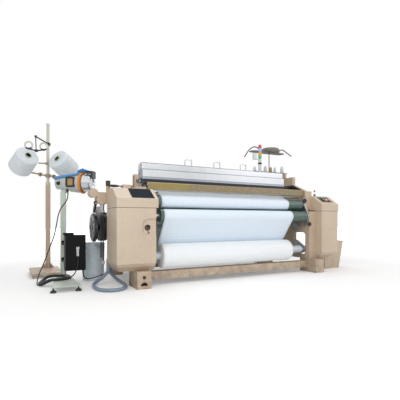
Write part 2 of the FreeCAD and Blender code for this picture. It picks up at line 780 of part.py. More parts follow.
def panel_plate(x0, x1, start, stop, thick):
    """A plate that lies on the sloping panel, from one distance up the slope to another."""
    cy = math.cos(SLOPE)
    cz = math.sin(SLOPE)
    points = []
    for along, up in ((start, 0), (stop, 0), (stop, thick), (start, thick)):
        points.append((along * cy - up * cz, CONSOLE_LIP + along * cz + up * cy))
    return prism_x(points, x0, x1)


def touch_panel():
    """Dark glass touch panel on the left console's slope."""
    return panel_plate(-50, 192, 14, 204, 4)


BUTTON_STEM = 9.0
BUTTON_TRAVEL = 4.0
BUTTON_CAP = 10.0
BUTTON_PLATE_T = 4.0


def panel_point(along, up):
    """(y, z) of a point up the slope and over its surface."""
    y = along * math.cos(SLOPE) - up * math.sin(SLOPE)
    z = CONSOLE_LIP + along * math.sin(SLOPE) + up * math.cos(SLOPE)
    return y, z


def panel_rod(x, along, r, low, high):
    """A round bar square to the sloping panel, between two heights over it."""
    y, z = panel_point(along, low)
    out = Vector(0, -math.sin(SLOPE), math.cos(SLOPE))
    return Part.makeCylinder(r, high - low, Vector(x, y, z), out)


def button_places():
    """Push buttons: name, X, distance up the slope and cap radius."""
    x0 = RIGHT_COVER_X
    return [("button_green", x0 + 120, 150, 17), ("button_red", x0 + 110, 95, 17),
            ("button_white", x0 + 165, 95, 14), ("button_orange", x0 + 220, 95, 17)]


def right_console():
    """The button console, with its raised button plate and the holes for the button stems."""
    t = COVER_WALL
    x1 = RIGHT_COVER_X + RIGHT_COVER_W + RIGHT_CONSOLE_OVERHANG
    outer = prism_x(console_outline(RIGHT_COVER_DEPTH, 0), RIGHT_COVER_X, x1)
    inner = prism_x(console_outline(RIGHT_COVER_DEPTH, t), RIGHT_COVER_X + t, x1 - t)
    hood = outer.cut(inner)
    plate = panel_plate(RIGHT_COVER_X + 60, RIGHT_COVER_X + 260, 50, 190, BUTTON_PLATE_T)
    hood = fuse([hood, plate])
    for _, x, along, _ in button_places():
        hood = hood.cut(panel_rod(x, along, BUTTON_STEM + GAP, -t - 4, BUTTON_PLATE_T + 1))
    return hood


def push_button(x, along, r):
    """A cap over the plate, a stem through it and a keeper under the panel."""
    base = BUTTON_PLATE_T + BUTTON_TRAVEL + 1
    cap = panel_rod(x, along, r, base, base + BUTTON_CAP)
    top = [edge for edge in cap.Edges if edge.Length > 6.0 * r]
    cap = cap.makeFillet(1.5, top)
    stem = panel_rod(x, along, BUTTON_STEM, -COVER_WALL - GAP - 4, base)
    keeper = panel_rod(x, along, BUTTON_STEM + 3, -COVER_WALL - GAP - 7, -COVER_WALL - GAP)
    return fuse([cap, stem, keeper])


# ---------------------------------------------------------------- rollers
def roller(y, z, r, journal, x0, x1):
    """A rubber-covered roller with a steel journal at each end."""
    edge = 4.0
    body = revolve_x([(x0, 0), (x0, journal), (ROLLER_X0 - 12, journal),
                      (ROLLER_X0 - 12, r * 0.55), (ROLLER_X0, r * 0.55), (ROLLER_X0, r - edge),
                      (ROLLER_X0 + edge, r), (ROLLER_X1 - edge, r), (ROLLER_X1, r - edge),
                      (ROLLER_X1, journal), (x1, journal), (x1, 0)], y, z)
    return hollowed(body, y, z, r - ROLLER_WALL, ROLLER_X0 + 18, ROLLER_X1 - 18, r * 0.7)


def hollowed(body, y, z, bore, x0, x1, vent_r):
    """Take the core out of a turned piece, and open it through four holes in each end disc."""
    body = body.cut(rod_x(y, z, bore, x0, x1))
    vents = []
    for index in range(4):
        hole = polar(0, y, z, vent_r, math.pi * (index / 2 + 0.25))
        vents.append(rod_x(hole.y, hole.z, 7, x0 - 40, x0 + 1))
        vents.append(rod_x(hole.y, hole.z, 7, x1 - 1, x1 + 40))
    return body.cut(vents)


def press_roller(y, z, r):
    """A press roller in the two roller brackets."""
    return roller(y, z, r, SMALL_JOURNAL, IN_L + 2, IN_R - 2)


def gear_phase_pair():
    """Tooth angles at which the two take-up gears mesh, with a tooth facing a gap."""
    surface = -math.pi / 2
    takeup = math.pi / 2 + math.pi / TAKEUP_TEETH
    return surface, takeup


def surface_roller():
    """The driven take-up roller, with its gear on the right."""
    phase, _ = gear_phase_pair()
    body = roller(SURFACE_Y, SURFACE_Z, SURFACE_R, SURFACE_JOURNAL, IN_L + 2, IN_R - 2)
    gear = spur_gear(SURFACE_TEETH, phase, SURFACE_Y, SURFACE_Z, gear_x(), GEAR_W,
                     SURFACE_JOURNAL, 6)
    return fuse([body, gear])


def gear_x():
    """Left face of the take-up gears, between the rollers and the right bracket's bosses."""
    return IN_R - PLATE_T - 8 - 2 - GEAR_W


def takeup_gear():
    """The driven pinion under the surface roller's gear, with its shaft through the frame."""
    _, phase = gear_phase_pair()
    wheel = spur_gear(TAKEUP_TEETH, phase, TAKEUP_Y, TAKEUP_Z, gear_x(), GEAR_W, SMALL_JOURNAL, 0)
    shaft = rod_x(TAKEUP_Y, TAKEUP_Z, SMALL_JOURNAL, gear_x() - 10, IN_R + FRAME_T + 20)
    return fuse([wheel, shaft])


def bracket_plate():
    """Left roller plate: lobes round the three roller bearings, bolted on the frame."""
    x0 = IN_L
    x1 = IN_L + PLATE_T
    lobes = [(UPPER_Y, UPPER_Z, 42), (SURFACE_Y, SURFACE_Z, 55), (LOWER_Y, LOWER_Z, 42),
             (SURFACE_Y + 40, SURFACE_Z - 70, 40)]
    arms = [slot_outline(*lobes[0], *lobes[1], x0, x1), slot_outline(*lobes[2], *lobes[1], x0, x1),
            slot_outline(*lobes[1], *lobes[3], x0, x1), slot_outline(*lobes[0], *lobes[2], x0, x1)]
    rings = [rod_x(y, z, r - 12, x1 - 1, x1 + 8) for y, z, r in lobes[:3]]
    return fuse(arms + rings)


def clamp_knob(x, y, z):
    """A six-lobed hand knob on a stud that points to the front."""
    knob = rod_y(x, z, 20, y - 16, y)
    for index in range(6):
        angle = math.pi * index / 3
        knob = knob.fuse(rod_y(x + 20 * math.cos(angle), z + 20 * math.sin(angle), 9, y - 16, y))
    return knob.removeSplitter()


def roller_brackets():
    """Roller plates, cloth roll arms and clamp knobs at both ends of the machine."""
    bores = [rod_x(UPPER_Y, UPPER_Z, SMALL_JOURNAL + RUN_FIT, IN_L - 1, IN_L + PLATE_T + 9),
             rod_x(LOWER_Y, LOWER_Z, SMALL_JOURNAL + RUN_FIT, IN_L - 1, IN_L + PLATE_T + 9),
             rod_x(SURFACE_Y, SURFACE_Z, SURFACE_JOURNAL + RUN_FIT, IN_L - 1, IN_L + PLATE_T + 9)]
    upper = bracket_plate()
    stud_x = IN_L + PLATE_T / 2
    for cy, cz, y, z in ((UPPER_Y, UPPER_Z, UPPER_Y - 38, UPPER_Z + 62),
                         (LOWER_Y, LOWER_Z, LOWER_Y - 46, LOWER_Z - 104)):
        reach = rod_y(stud_x, z, 12, y, cy + 12)
        lug = slot_outline(cy, cz, 34, cy + 12, z, 18, IN_L, IN_L + PLATE_T)
        upper = fuse([upper, lug, reach, clamp_knob(stud_x, y, z)])
    upper = upper.cut(bores)
    arm = fuse([slot_outline(ROLL_Y, ROLL_Z, 46, ROLL_Y + 130, ROLL_Z + 90, 34, IN_L,
                             IN_L + PLATE_T),
                slot_outline(ROLL_Y, ROLL_Z, 46, ROLL_Y + 130, ROLL_Z - 60, 34, IN_L,
                             IN_L + PLATE_T),
                rod_x(ROLL_Y, ROLL_Z, 36, IN_L, IN_L + PLATE_T + 14)])
    arm = arm.cut(rod_x(ROLL_Y, ROLL_Z, SURFACE_JOURNAL + RUN_FIT, IN_L - 1, IN_L + PLATE_T + 15))
    right_upper = mirrored(upper)
    gear_bore = rod_x(TAKEUP_Y, TAKEUP_Z, SMALL_JOURNAL + 4, IN_R - PLATE_T - 10, IN_R + 1)
    return group([upper, arm, right_upper.cut(gear_bore), mirrored(arm)])


def cloth_roll():
    """The wound cloth and, as its own solid, the core tube that carries it."""
    x0 = IN_L + 4
    x1 = IN_R - 4
    core = revolve_x([(x0, 0), (x0, SURFACE_JOURNAL), (x0 + 60, SURFACE_JOURNAL),
                      (x0 + 80, CORE_R), (x1 - 80, CORE_R), (x1 - 60, SURFACE_JOURNAL),
                      (x1, SURFACE_JOURNAL), (x1, 0)], ROLL_Y, ROLL_Z)
    core = hollowed(core, ROLL_Y, ROLL_Z, CORE_R - 8, x0 + 100, x1 - 100, CORE_R * 0.55)
    bulge = 7.0
    cloth = revolve_x([(CLOTH_X0 - bulge, CORE_R), (CLOTH_X0 - bulge, ROLL_R - 26),
                       (CLOTH_X0, ROLL_R - 6), (CLOTH_X0 + 8, ROLL_R), (CLOTH_X1 - 8, ROLL_R),
                       (CLOTH_X1, ROLL_R - 6), (CLOTH_X1 + bulge, ROLL_R - 26),
                       (CLOTH_X1 + bulge, CORE_R)], ROLL_Y, ROLL_Z)
    return group([core, cloth])


def cloth_stops():
    """The cloth's way from the fell, over the rest bar and round the three rollers."""
    lay = GAP + CLOTH_T / 2
    return [(FELL_Y, WARP_Z, 0, 1), (REST_BAR_Y, REST_BAR_Z, REST_BAR_R + lay, 1),
            (UPPER_Y, UPPER_Z, UPPER_R + lay, 1), (SURFACE_Y, SURFACE_Z, SURFACE_R + lay, -1),
            (LOWER_Y, LOWER_Z, LOWER_R + lay, 1), (ROLL_Y, ROLL_Z, ROLL_R + lay, -1),
            (ROLL_Y - 150, ROLL_Z - 250, 0, 1)]


def cloth_sheet():
    """The woven cloth between the fell and the roll; it ends where it lies on the roll."""
    sheet = ribbon(cloth_stops(), CLOTH_T, CLOTH_X0, CLOTH_X1)
    below = box(CLOTH_X0 - 1, CLOTH_X1 + 1, ROLL_Y - 400, ROLL_Y + 400, 0, ROLL_Z)
    return sheet.cut(below)


def cloth_rest():
    """The polished bar that carries the cloth under the breast beam."""
    return rod_x(REST_BAR_Y, REST_BAR_Z, REST_BAR_R, IN_L, IN_R)


def water_tray():
    """The folded trough that catches the jet's water in front of the sley, with the rest bar."""
    y0 = 300.0
    y1 = 364.0
    z0 = 905.0
    t = 2.5
    outline = [(y0, z0 + 60), (y0 + 12, z0), (y1 - 8, z0), (y1, z0 + 60), (y1 - t, z0 + 60),
               (y1 - 8 - t, z0 + t), (y0 + 12 + t, z0 + t), (y0 + t, z0 + 60)]
    return group([prism_x(outline, IN_L, IN_R), cloth_rest()])


# ---------------------------------------------------------------- sley, reed and harness
def sley():
    """Rocking shaft, four swords and the sley beam with its reed groove."""
    shaft = rod_x(SLEY_Y, SLEY_Z, SLEY_R, IN_L - FRAME_T + 2, IN_R + FRAME_T - 2)
    beam = box(SLEY_X0, SLEY_X1, SLEY_Y - 30, SLEY_Y + 30, SLEY_BEAM_Z,
               SLEY_BEAM_Z + SLEY_BEAM_H)
    groove = box(SLEY_X0 - 1, SLEY_X1 + 1, REED_Y - REED_T / 2 - GAP, REED_Y + REED_T / 2 + GAP,
                 SLEY_BEAM_Z + SLEY_BEAM_H - 10, SLEY_BEAM_Z + SLEY_BEAM_H + 1)
    pieces = [shaft, beam.cut(groove)]
    for index in range(4):
        x = SLEY_X0 + 90 + index * (SLEY_X1 - SLEY_X0 - 180) / 3
        pieces.append(prism_x([(SLEY_Y - 34, SLEY_Z), (SLEY_Y - 24, SLEY_BEAM_Z),
                               (SLEY_Y + 24, SLEY_BEAM_Z), (SLEY_Y + 34, SLEY_Z)],
                              x - 12, x + 12))
        pieces.append(rod_x(SLEY_Y, SLEY_Z, SLEY_R + 16, x - 30, x + 30))
    body = fuse(pieces)
    left = sley_drive()
    return fuse([body, left, mirrored(left)])


def sley_drive():
    """Left rocking lever and its connecting rod, whose big end stands beside the crank pin."""
    x0 = IN_L + CRANK_X + 1
    lever = slot_outline(SLEY_Y, SLEY_Z, SLEY_R + 12, SLEY_Y + 50, SLEY_Z - 90, 16, x0 + 14,
                         x0 + 28)
    link = slot_outline(MAIN_Y - CRANK_R, MAIN_Z, 20, SLEY_Y + 50, SLEY_Z - 90, 16, x0, x0 + 12)
    pin = rod_x(SLEY_Y + 50, SLEY_Z - 90, 9, x0, x0 + 32)
    return fuse([lever, link, pin])


def reed():
    """The reed: one plate with a gap for each dent space, framed by its two baulks."""
    z0 = SLEY_BEAM_Z + SLEY_BEAM_H - 10
    z1 = z0 + REED_H
    rim = 14.0
    outer = Part.makePolygon([Vector(REED_X0, 0, z0), Vector(REED_X0 + REED_W, 0, z0),
                              Vector(REED_X0 + REED_W, 0, z1), Vector(REED_X0, 0, z1),
                              Vector(REED_X0, 0, z0)])
    pitch = (REED_W - 2 * rim) / REED_GAPS
    holes = []
    for index in range(REED_GAPS):
        x0 = REED_X0 + rim + index * pitch + REED_TOOTH / 2
        x1 = x0 + pitch - REED_TOOTH
        holes.append(Part.makePolygon([Vector(x0, 0, z0 + rim), Vector(x1, 0, z0 + rim),
                                       Vector(x1, 0, z1 - rim), Vector(x0, 0, z1 - rim),
                                       Vector(x0, 0, z0 + rim)]))
    plate = Part.Face([outer] + holes)
    plate.validate()
    plate.translate(Vector(0, REED_Y - REED_T / 2, 0))
    return plate.extrude(Vector(0, REED_T, 0))


def heald_frame(y, top):
    """One heald frame: two staves, two side stays, heald bars and the healds with their eyes."""
    bottom = top - HARNESS_H
    x0 = HARNESS_X0
    x1 = HARNESS_X0 + HARNESS_W
    y0 = y - HEALD_T / 2
    y1 = y + HEALD_T / 2
    low = bottom + LOW_STAVE
    high = top - TOP_STAVE
    bar = 8.0
    frame = [box(x0, x1, y0, y1, bottom, low), box(x0, x1, y0, y1, high, top),
             box(x0, x0 + STAY_W, y0, y1, low, high), box(x1 - STAY_W, x1, y0, y1, low, high),
             box(x0 + STAY_W, x1 - STAY_W, y - 2, y + 2, low + 12, low + 12 + bar),
             box(x0 + STAY_W, x1 - STAY_W, y - 2, y + 2, high - 12 - bar, high - 12)]
    eye = top - HARNESS_H / 2
    reach = HARNESS_W - 2 * STAY_W - 80
    for index in range(HEALDS):
        x = x0 + STAY_W + 40 + reach * index / (HEALDS - 1)
        heald = box(x - HEALD_W / 2, x + HEALD_W / 2, y - HEALD_D / 2, y + HEALD_D / 2,
                    low + 12, high - 12)
        ring = box(x - 5, x + 5, y - HEALD_D / 2, y + HEALD_D / 2, eye - 9, eye + 9)
        hole = box(x - 2.5, x + 2.5, y - HEALD_D, y + HEALD_D, eye - 6, eye + 6)
        frame.append(fuse([heald, ring]).cut(hole))
    solid = fuse(frame)
    lip = box(x0 + 60, x1 - 60, y0 - 1, y0 + 3, high + 22, high + 26)
    return solid.cut(lip)


def heald_frames(first, lift):
    """Every second heald frame, which rise and fall together."""
    frames = []
    for index in (first, first + 2):
        frames.append(heald_frame(HARNESS_Y + index * HARNESS_PITCH, HARNESS_TOP + lift))
    return group(frames)


def u_bracket(x):
    """A flat bar bent to an upside-down U, standing on the harness beam."""
    y = HARNESS_BEAM_Y + 20
    z0 = HARNESS_BEAM_Z + 50
    z1 = z0 + U_HEIGHT
    outer = box(x - U_WIDTH / 2, x + U_WIDTH / 2, y - 12, y + 12, z0, z1)
    corners = [edge for edge in outer.Edges
               if abs(edge.BoundBox.ZMin - z1) < 1e-6 and abs(edge.Length - 24) < 1e-6]
    outer = outer.makeFillet(14, corners)
    inner = box(x - U_WIDTH / 2 + 7, x + U_WIDTH / 2 - 7, y - 13, y + 13, z0 - 1, z1 - 7)
    return outer.cut(inner)


def guide_comb():
    """The slotted block on the left frame in which the heald frames' side stays slide."""
    y0 = HARNESS_Y - HARNESS_PITCH / 2
    y1 = HARNESS_Y + 3.5 * HARNESS_PITCH
    comb = box(IN_L, HARNESS_X0 + 18, y0, y1, 890, 960)
    for index in range(4):
        y = HARNESS_Y + index * HARNESS_PITCH
        comb = comb.cut(box(HARNESS_X0 - GAP, HARNESS_X0 + 20, y - HEALD_T / 2 - GAP,
                            y + HEALD_T / 2 + GAP, 889, 961))
    return comb


def harness_guard():
    """The dark rail in front of the heald frames, and the dark plate on the right frame."""
    top = HARNESS_TOP - TOP_STAVE - 4
    plate_t = 4.0
    front = HARNESS_Y - 32
    rail = box(IN_L, IN_R - plate_t, front, front + 16, top - 52, top)
    rail = rail.cut(box(IN_L - 1, IN_R, front + 3, front + 17, top - 49, top - 3))
    low = NECK_SHOULDER - 18
    y0 = BEAM_Y + BEAM_D + 3
    slope = (FRAME_TOP - 112 - NECK_SHOULDER) / (BLOCK_FRONT - FRAME_NECK)
    plate = prism_x([(y0, low), (y0, NECK_SHOULDER + slope * (y0 - FRAME_NECK) - 5),
                     (BLOCK_FRONT, FRAME_TOP - 118), (BLOCK_BACK - 20, FRAME_TOP - 118),
                     (BLOCK_BACK - 20, low)], IN_R - plate_t, IN_R)
    return [rail, plate]


def left_fittings():
    """Cutter housing on the left frame's neck, and the clamp screw on its block."""
    housing = box(IN_L, IN_L + 46, 290, 350, LEFT_SHOULDER - 23, LEFT_SHOULDER + 75)
    edges = [edge for edge in housing.Edges if abs(edge.BoundBox.YMax - edge.BoundBox.YMin - 60)
             < 1e-6 and edge.BoundBox.ZMin > LEFT_SHOULDER]
    housing = housing.makeFillet(9, edges)
    housing = fuse([housing, rod_y(IN_L + 23, LEFT_SHOULDER + 40, 14, 280, 291)])
    x = IN_L - 14
    z = LEFT_SHOULDER + 90
    screw = fuse([rod_y(x, z, 21, BLOCK_FRONT - 28, BLOCK_FRONT - 8),
                  rod_y(x, z, 9, BLOCK_FRONT - 8, BLOCK_FRONT)])
    return [housing, screw]


def harness_beam():
    """The rear top beam with its U brackets and left post, the guide combs and the guards."""
    post_x = HARNESS_POST_X
    beam = hollow_beam(post_x, IN_R, HARNESS_BEAM_Y, HARNESS_BEAM_Y + 40, HARNESS_BEAM_Z,
                       HARNESS_BEAM_Z + 50, 4)
    y = HARNESS_BEAM_Y + 20
    post = box(post_x, post_x + 12, y - 9, y + 9, LEFT_SHOULDER + 15, HARNESS_BEAM_Z + 100)
    foot = box(IN_L, post_x + 12, y - 15, y + 15, LEFT_SHOULDER + 15, LEFT_SHOULDER + 37)
    brackets = [u_bracket(MID_X + step * U_PITCH) for step in (-1, 0, 1)]
    comb = guide_comb()
    shift = HARNESS_X0 + HARNESS_W - (2 * MID_X - HARNESS_X0)
    right = mirrored(comb)
    filler = box(IN_R + shift, IN_R, HARNESS_Y - HARNESS_PITCH / 2,
                 HARNESS_Y + 3.5 * HARNESS_PITCH, 890, 960)
    right = fuse([moved(right, shift, 0, 0), filler])
    return group([fuse([beam, post, foot] + brackets), comb, right] + harness_guard()
                 + left_fittings())


# ---------------------------------------------------------------- main drive
def main_shaft():
    """Crank shaft with its end discs, belt pulley and hand wheel."""
    shaft = rod_x(MAIN_Y, MAIN_Z, MAIN_R, BELT_X - 110, IN_R + FRAME_T + 10)
    discs = [rod_x(MAIN_Y, MAIN_Z, CRANK_R + 20, x, x + 34) for x in (IN_L + 12, IN_R - 46)]
    pins = [rod_x(MAIN_Y - CRANK_R, MAIN_Z, 12, IN_L + 46, IN_L + CRANK_X),
            rod_x(MAIN_Y - CRANK_R, MAIN_Z, 12, IN_R - CRANK_X, IN_R - 46)]
    half = BELT_W / 2
    rim = MAIN_PULLEY_R
    pulley = revolve_x([(BELT_X - half - 6, 0), (BELT_X - half - 6, rim + 6),
                        (BELT_X - half - 1, rim + 6), (BELT_X - half - 1, rim),
                        (BELT_X + half + 1, rim), (BELT_X + half + 1, rim + 6),
                        (BELT_X + half + 6, rim + 6), (BELT_X + half + 6, 0)], MAIN_Y, MAIN_Z)
    x = BELT_X - 110
    wheel = revolve_x([(x + 6, 0), (x + 6, 60), (x, 80), (x, HANDWHEEL_R - 12),
                       (x + 12, HANDWHEEL_R), (x + 36, HANDWHEEL_R), (x + 44, HANDWHEEL_R - 14),
                       (x + 44, HANDWHEEL_R - 34), (x + 20, HANDWHEEL_R - 44), (x + 20, 60),
                       (x + 44, 50), (x + 44, 0)], MAIN_Y, MAIN_Z)
    for index in range(5):
        hole = polar(0, MAIN_Y, MAIN_Z, 100, 2 * math.pi * index / 5)
        wheel = wheel.cut(rod_x(hole.y, hole.z, 20, x - 1, x + 45))
    return fuse([shaft, pulley, wheel] + discs + pins)


def motor():
    """Foot-mounted electric motor inside the left frame, with cooling fins."""
    x0 = IN_L
    body = rod_x(MOTOR_Y, MOTOR_Z, MOTOR_R - 10, x0 + 14, x0 + 300)
    flange = rod_x(MOTOR_Y, MOTOR_Z, MOTOR_R, x0, x0 + 16)
    cowl = rod_x(MOTOR_Y, MOTOR_Z, MOTOR_R - 4, x0 + 290, x0 + 350)
    fins = []
    for index in range(24):
        fin = box(x0 + 30, x0 + 280, MOTOR_Y - 2, MOTOR_Y + 2, MOTOR_Z + MOTOR_R - 16,
                  MOTOR_Z + MOTOR_R - 1)
        fin.rotate(Vector(0, MOTOR_Y, MOTOR_Z), Vector(1, 0, 0), 15 * index)
        fins.append(fin)
    box_top = box(x0 + 90, x0 + 190, MOTOR_Y - 45, MOTOR_Y + 45, MOTOR_Z + MOTOR_R - 20,
                  MOTOR_Z + MOTOR_R + 40)
    body = fuse([body, flange, cowl, box_top] + fins)
    return body.cut(rod_x(MOTOR_Y, MOTOR_Z, MOTOR_SHAFT + RUN_FIT, x0 - 1, x0 + 80))


def motor_pulley():
    """The motor's shaft end and its small pulley."""
    half = BELT_W / 2
    rim = MOTOR_PULLEY_R
    pulley = revolve_x([(BELT_X - half - 6, 0), (BELT_X - half - 6, rim + 6),
                        (BELT_X - half - 1, rim + 6), (BELT_X - half - 1, rim),
                        (BELT_X + half + 1, rim), (BELT_X + half + 1, rim + 6),
                        (BELT_X + half + 6, rim + 6), (BELT_X + half + 6, 0)], MOTOR_Y, MOTOR_Z)
    return fuse([pulley, rod_x(MOTOR_Y, MOTOR_Z, MOTOR_SHAFT, BELT_X, IN_L + 75)])


def drive_belt():
    """The belt round both pulleys."""
    low = GAP
    high = GAP + BELT_T
    x0 = BELT_X - BELT_W / 2
    x1 = BELT_X + BELT_W / 2
    outer = slot_outline(MAIN_Y, MAIN_Z, MAIN_PULLEY_R + high, MOTOR_Y, MOTOR_Z,
                         MOTOR_PULLEY_R + high, x0, x1)
    inner = slot_outline(MAIN_Y, MAIN_Z, MAIN_PULLEY_R + low, MOTOR_Y, MOTOR_Z,
                         MOTOR_PULLEY_R + low, x0 - 1, x1 + 1)
    return outer.cut(inner)


def belt_guard():
    """Black sheet guard round the belt, open on the frame's side and held by three studs."""
    t = 3.0
    x0 = BELT_X - BELT_W / 2 - 12
    x1 = BELT_X + BELT_W / 2 + 22
    grow = BELT_T + 16
    outer = slot_outline(MAIN_Y, MAIN_Z, MAIN_PULLEY_R + grow, MOTOR_Y, MOTOR_Z,
                         MOTOR_PULLEY_R + grow, x0, x1)
    inner = slot_outline(MAIN_Y, MAIN_Z, MAIN_PULLEY_R + grow - t, MOTOR_Y, MOTOR_Z,
                         MOTOR_PULLEY_R + grow - t, x0 + t, x1 + 1)
    shell = outer.cut(inner)
    shell = shell.cut(rod_x(MAIN_Y, MAIN_Z, MAIN_R + 8, x0 - 1, x0 + t + 1))
    reach = MAIN_PULLEY_R + grow
    studs = []
    for angle in (100, 215, 330):
        centre = polar(0, MAIN_Y, MAIN_Z, reach + 8, math.radians(angle))
        studs.append(rod_x(centre.y, centre.z, 10, x1 - 20, IN_L - FRAME_WEB))
    return fuse([shell] + studs)


def water_jet_pump():
    """The jet pump on the left frame, its pipes and oil cup, and the nozzle by the reed."""
    outer = IN_L - FRAME_T
    low = 900.0
    high = 1020.0
    housing = box(-310, -100, LEFT_COVER_DEPTH + 20, LEFT_COVER_DEPTH + 180, low, high)
    corners = [edge for edge in housing.Edges if abs(edge.Length - 160) < 1e-6]
    housing = housing.makeFillet(14, corners)
    arm = box(-100, IN_L - FRAME_WEB, LEFT_COVER_DEPTH + 50, LEFT_COVER_DEPTH + 150, low + 30,
              high - 20)
    head = rod_y(-345, 1010, 48, LEFT_COVER_DEPTH + 30, LEFT_COVER_DEPTH + 150)
    neck = box(-345, -300, LEFT_COVER_DEPTH + 50, LEFT_COVER_DEPTH + 130, 985, 1015)
    lever = fuse([slot_outline(LEFT_COVER_DEPTH + 60, 900, 26, LEFT_COVER_DEPTH + 150, 820, 20,
                               -330, -312),
                  rod_x(LEFT_COVER_DEPTH + 60, 905, 16, -340, -300)])
    pipe_y = LEFT_COVER_DEPTH + 34
    cylinder = revolve_z([(0, 800), (28, 800), (28, 812), (22, 818), (22, 880), (30, 884),
                          (30, 901), (0, 901)], -256, pipe_y)
    pipes = [rod_z(-268, pipe_y, 7, 300, 802), rod_z(-245, pipe_y, 7, 260, 802)]
    foot_valve = revolve_z([(0, 225), (14, 225), (17, 235), (17, 262), (9, 270), (0, 270)],
                           -245, pipe_y)
    cup = revolve_z([(0, 1018), (16, 1018), (16, 1030), (21, 1034), (21, 1085), (25, 1090),
                     (25, 1150), (0, 1150)], -190, LEFT_COVER_DEPTH + 40)
    pump = fuse([housing, arm, head, neck, lever, cylinder, foot_valve, cup] + pipes)
    nozzle_y = REED_Y - 56
    nozzle = revolve_x([(IN_L + 34, 0), (IN_L + 34, 13), (IN_L + 84, 13), (IN_L + 96, 9),
                        (IN_L + 118, 4), (IN_L + 118, 1.5), (IN_L + 60, 1.5), (IN_L + 60, 0)],
                       nozzle_y, WARP_Z)
    holder = fuse([box(IN_L, IN_L + 60, nozzle_y - 18, nozzle_y + 18, WARP_Z - 60, WARP_Z - 30),
                   box(IN_L + 40, IN_L + 60, nozzle_y - 18, nozzle_y + 18, WARP_Z - 60, WARP_Z)])
    return group([pump, fuse([holder, nozzle])])


def hand_lever():
    """Clutch lever on top of the left console: a fork, a bent arm and a grip along X."""
    y = 350.0
    hub = rod_y(-40, CONSOLE_TOP + 34, 15, y - 12, y + 12)
    hub = hub.cut(rod_y(-40, CONSOLE_TOP + 34, 8 + RUN_FIT, y - 13, y + 13))
    arm = box(-110, -52, y - 7, y + 7, CONSOLE_TOP + 28, CONSOLE_TOP + 40)
    grip = revolve_x([(-200, 0), (-200, 8), (-194, 13), (-150, 15), (-112, 12), (-100, 8),
                      (-100, 0)], y, CONSOLE_TOP + 34)
    return fuse([hub, arm, grip])


def lever_stand():
    """Fork on the left console that carries the clutch lever's pin."""
    y = 350.0
    cheeks = [box(-60, 30, y - 26, y - 12 - GAP, CONSOLE_TOP, CONSOLE_TOP + 52),
              box(-60, 30, y + 12 + GAP, y + 26, CONSOLE_TOP, CONSOLE_TOP + 52),
              rod_y(-40, CONSOLE_TOP + 34, 8, y - 26, y + 26)]
    base = box(-60, 30, y - 26, y + 26, CONSOLE_TOP, CONSOLE_TOP + 8)
    return fuse(cheeks + [base])


def stop_lever():
    """The thin stop lever with its red ball, in a socket on the right console."""
    x = 2660.0
    y = 190.0
    pivot_z = CONSOLE_TOP + 20
    stem = rod_z(x, y, 4, pivot_z, pivot_z + 45)
    ball = Part.makeSphere(13, Vector(x, y, pivot_z + 52))
    hub = rod_x(y, pivot_z, 8, x - 7, x + 7).cut(rod_x(y, pivot_z, 4 + RUN_FIT, x - 8, x + 8))
    return fuse([hub.cut(rod_x(y, pivot_z, 4 + RUN_FIT, x - 8, x + 8)), stem.cut(
        rod_x(y, pivot_z, 6, x - 8, x + 8)), ball])


def stop_socket():
    """Two ears and a pin on the right console for the stop lever."""
    x = 2660.0
    y = 190.0
    pivot_z = CONSOLE_TOP + 20
    ears = [box(x - 14, x - 7 - GAP, y - 9, y + 9, CONSOLE_TOP - 1, pivot_z + 8),
            box(x + 7 + GAP, x + 14, y - 9, y + 9, CONSOLE_TOP - 1, pivot_z + 8)]
    return fuse(ears + [rod_x(y, pivot_z, 4, x - 14, x + 14)])


# ---------------------------------------------------------------- warp beam and back rest
def warp_beam():
    """Barrel, flanges, journals and let-off gear, and the wound warp as its own solid."""
    x0 = BARREL_X0
    x1 = BARREL_X0 + BARREL_W
    barrel = rod_x(BEAM_AXIS_Y, BEAM_AXIS_Z, BARREL_R, x0, x1)
    journals = rod_x(BEAM_AXIS_Y, BEAM_AXIS_Z, JOURNAL_R, IN_L - FRAME_T - 15,
                     IN_R + FRAME_T + 15)
    flanges = []
    for inner, out in ((x0, -1), (x1, 1)):
        outer = inner + out * FLANGE_T
        web = inner + out * 8
        profile = [(inner, 0), (inner, FLANGE_R), (outer, FLANGE_R), (outer, FLANGE_R - 16),
                   (web, FLANGE_R - 24), (web, BARREL_R + 40), (outer + out * 14, BARREL_R - 10),
                   (outer + out * 14, 0)]
        flange = revolve_x(profile, BEAM_AXIS_Y, BEAM_AXIS_Z)
        ribs = []
        for index in range(8):
            rib = box(min(web, outer), max(web, outer), BEAM_AXIS_Y - 5, BEAM_AXIS_Y + 5,
                      BEAM_AXIS_Z + BARREL_R, BEAM_AXIS_Z + FLANGE_R - 14)
            rib.rotate(Vector(0, BEAM_AXIS_Y, BEAM_AXIS_Z), Vector(1, 0, 0), 45 * index)
            ribs.append(rib)
        flanges.append(fuse([flange] + ribs))
    wheel = revolve_x([(x0 - 70, 0), (x0 - 70, 150), (x0 - 46, 150), (x0 - 46, 0)],
                      BEAM_AXIS_Y, BEAM_AXIS_Z)
    beam = fuse([barrel, journals, wheel] + flanges)
    beam = hollowed(beam, BEAM_AXIS_Y, BEAM_AXIS_Z, BARREL_R - 10, x0 + 4, x1 - 4,
                    BARREL_R * 0.62)
    yarn = rod_x(BEAM_AXIS_Y, BEAM_AXIS_Z, YARN_R, x0 + GAP, x1 - GAP).cut(
        rod_x(BEAM_AXIS_Y, BEAM_AXIS_Z, BARREL_R + GAP, x0, x1))
    return group([beam, yarn])


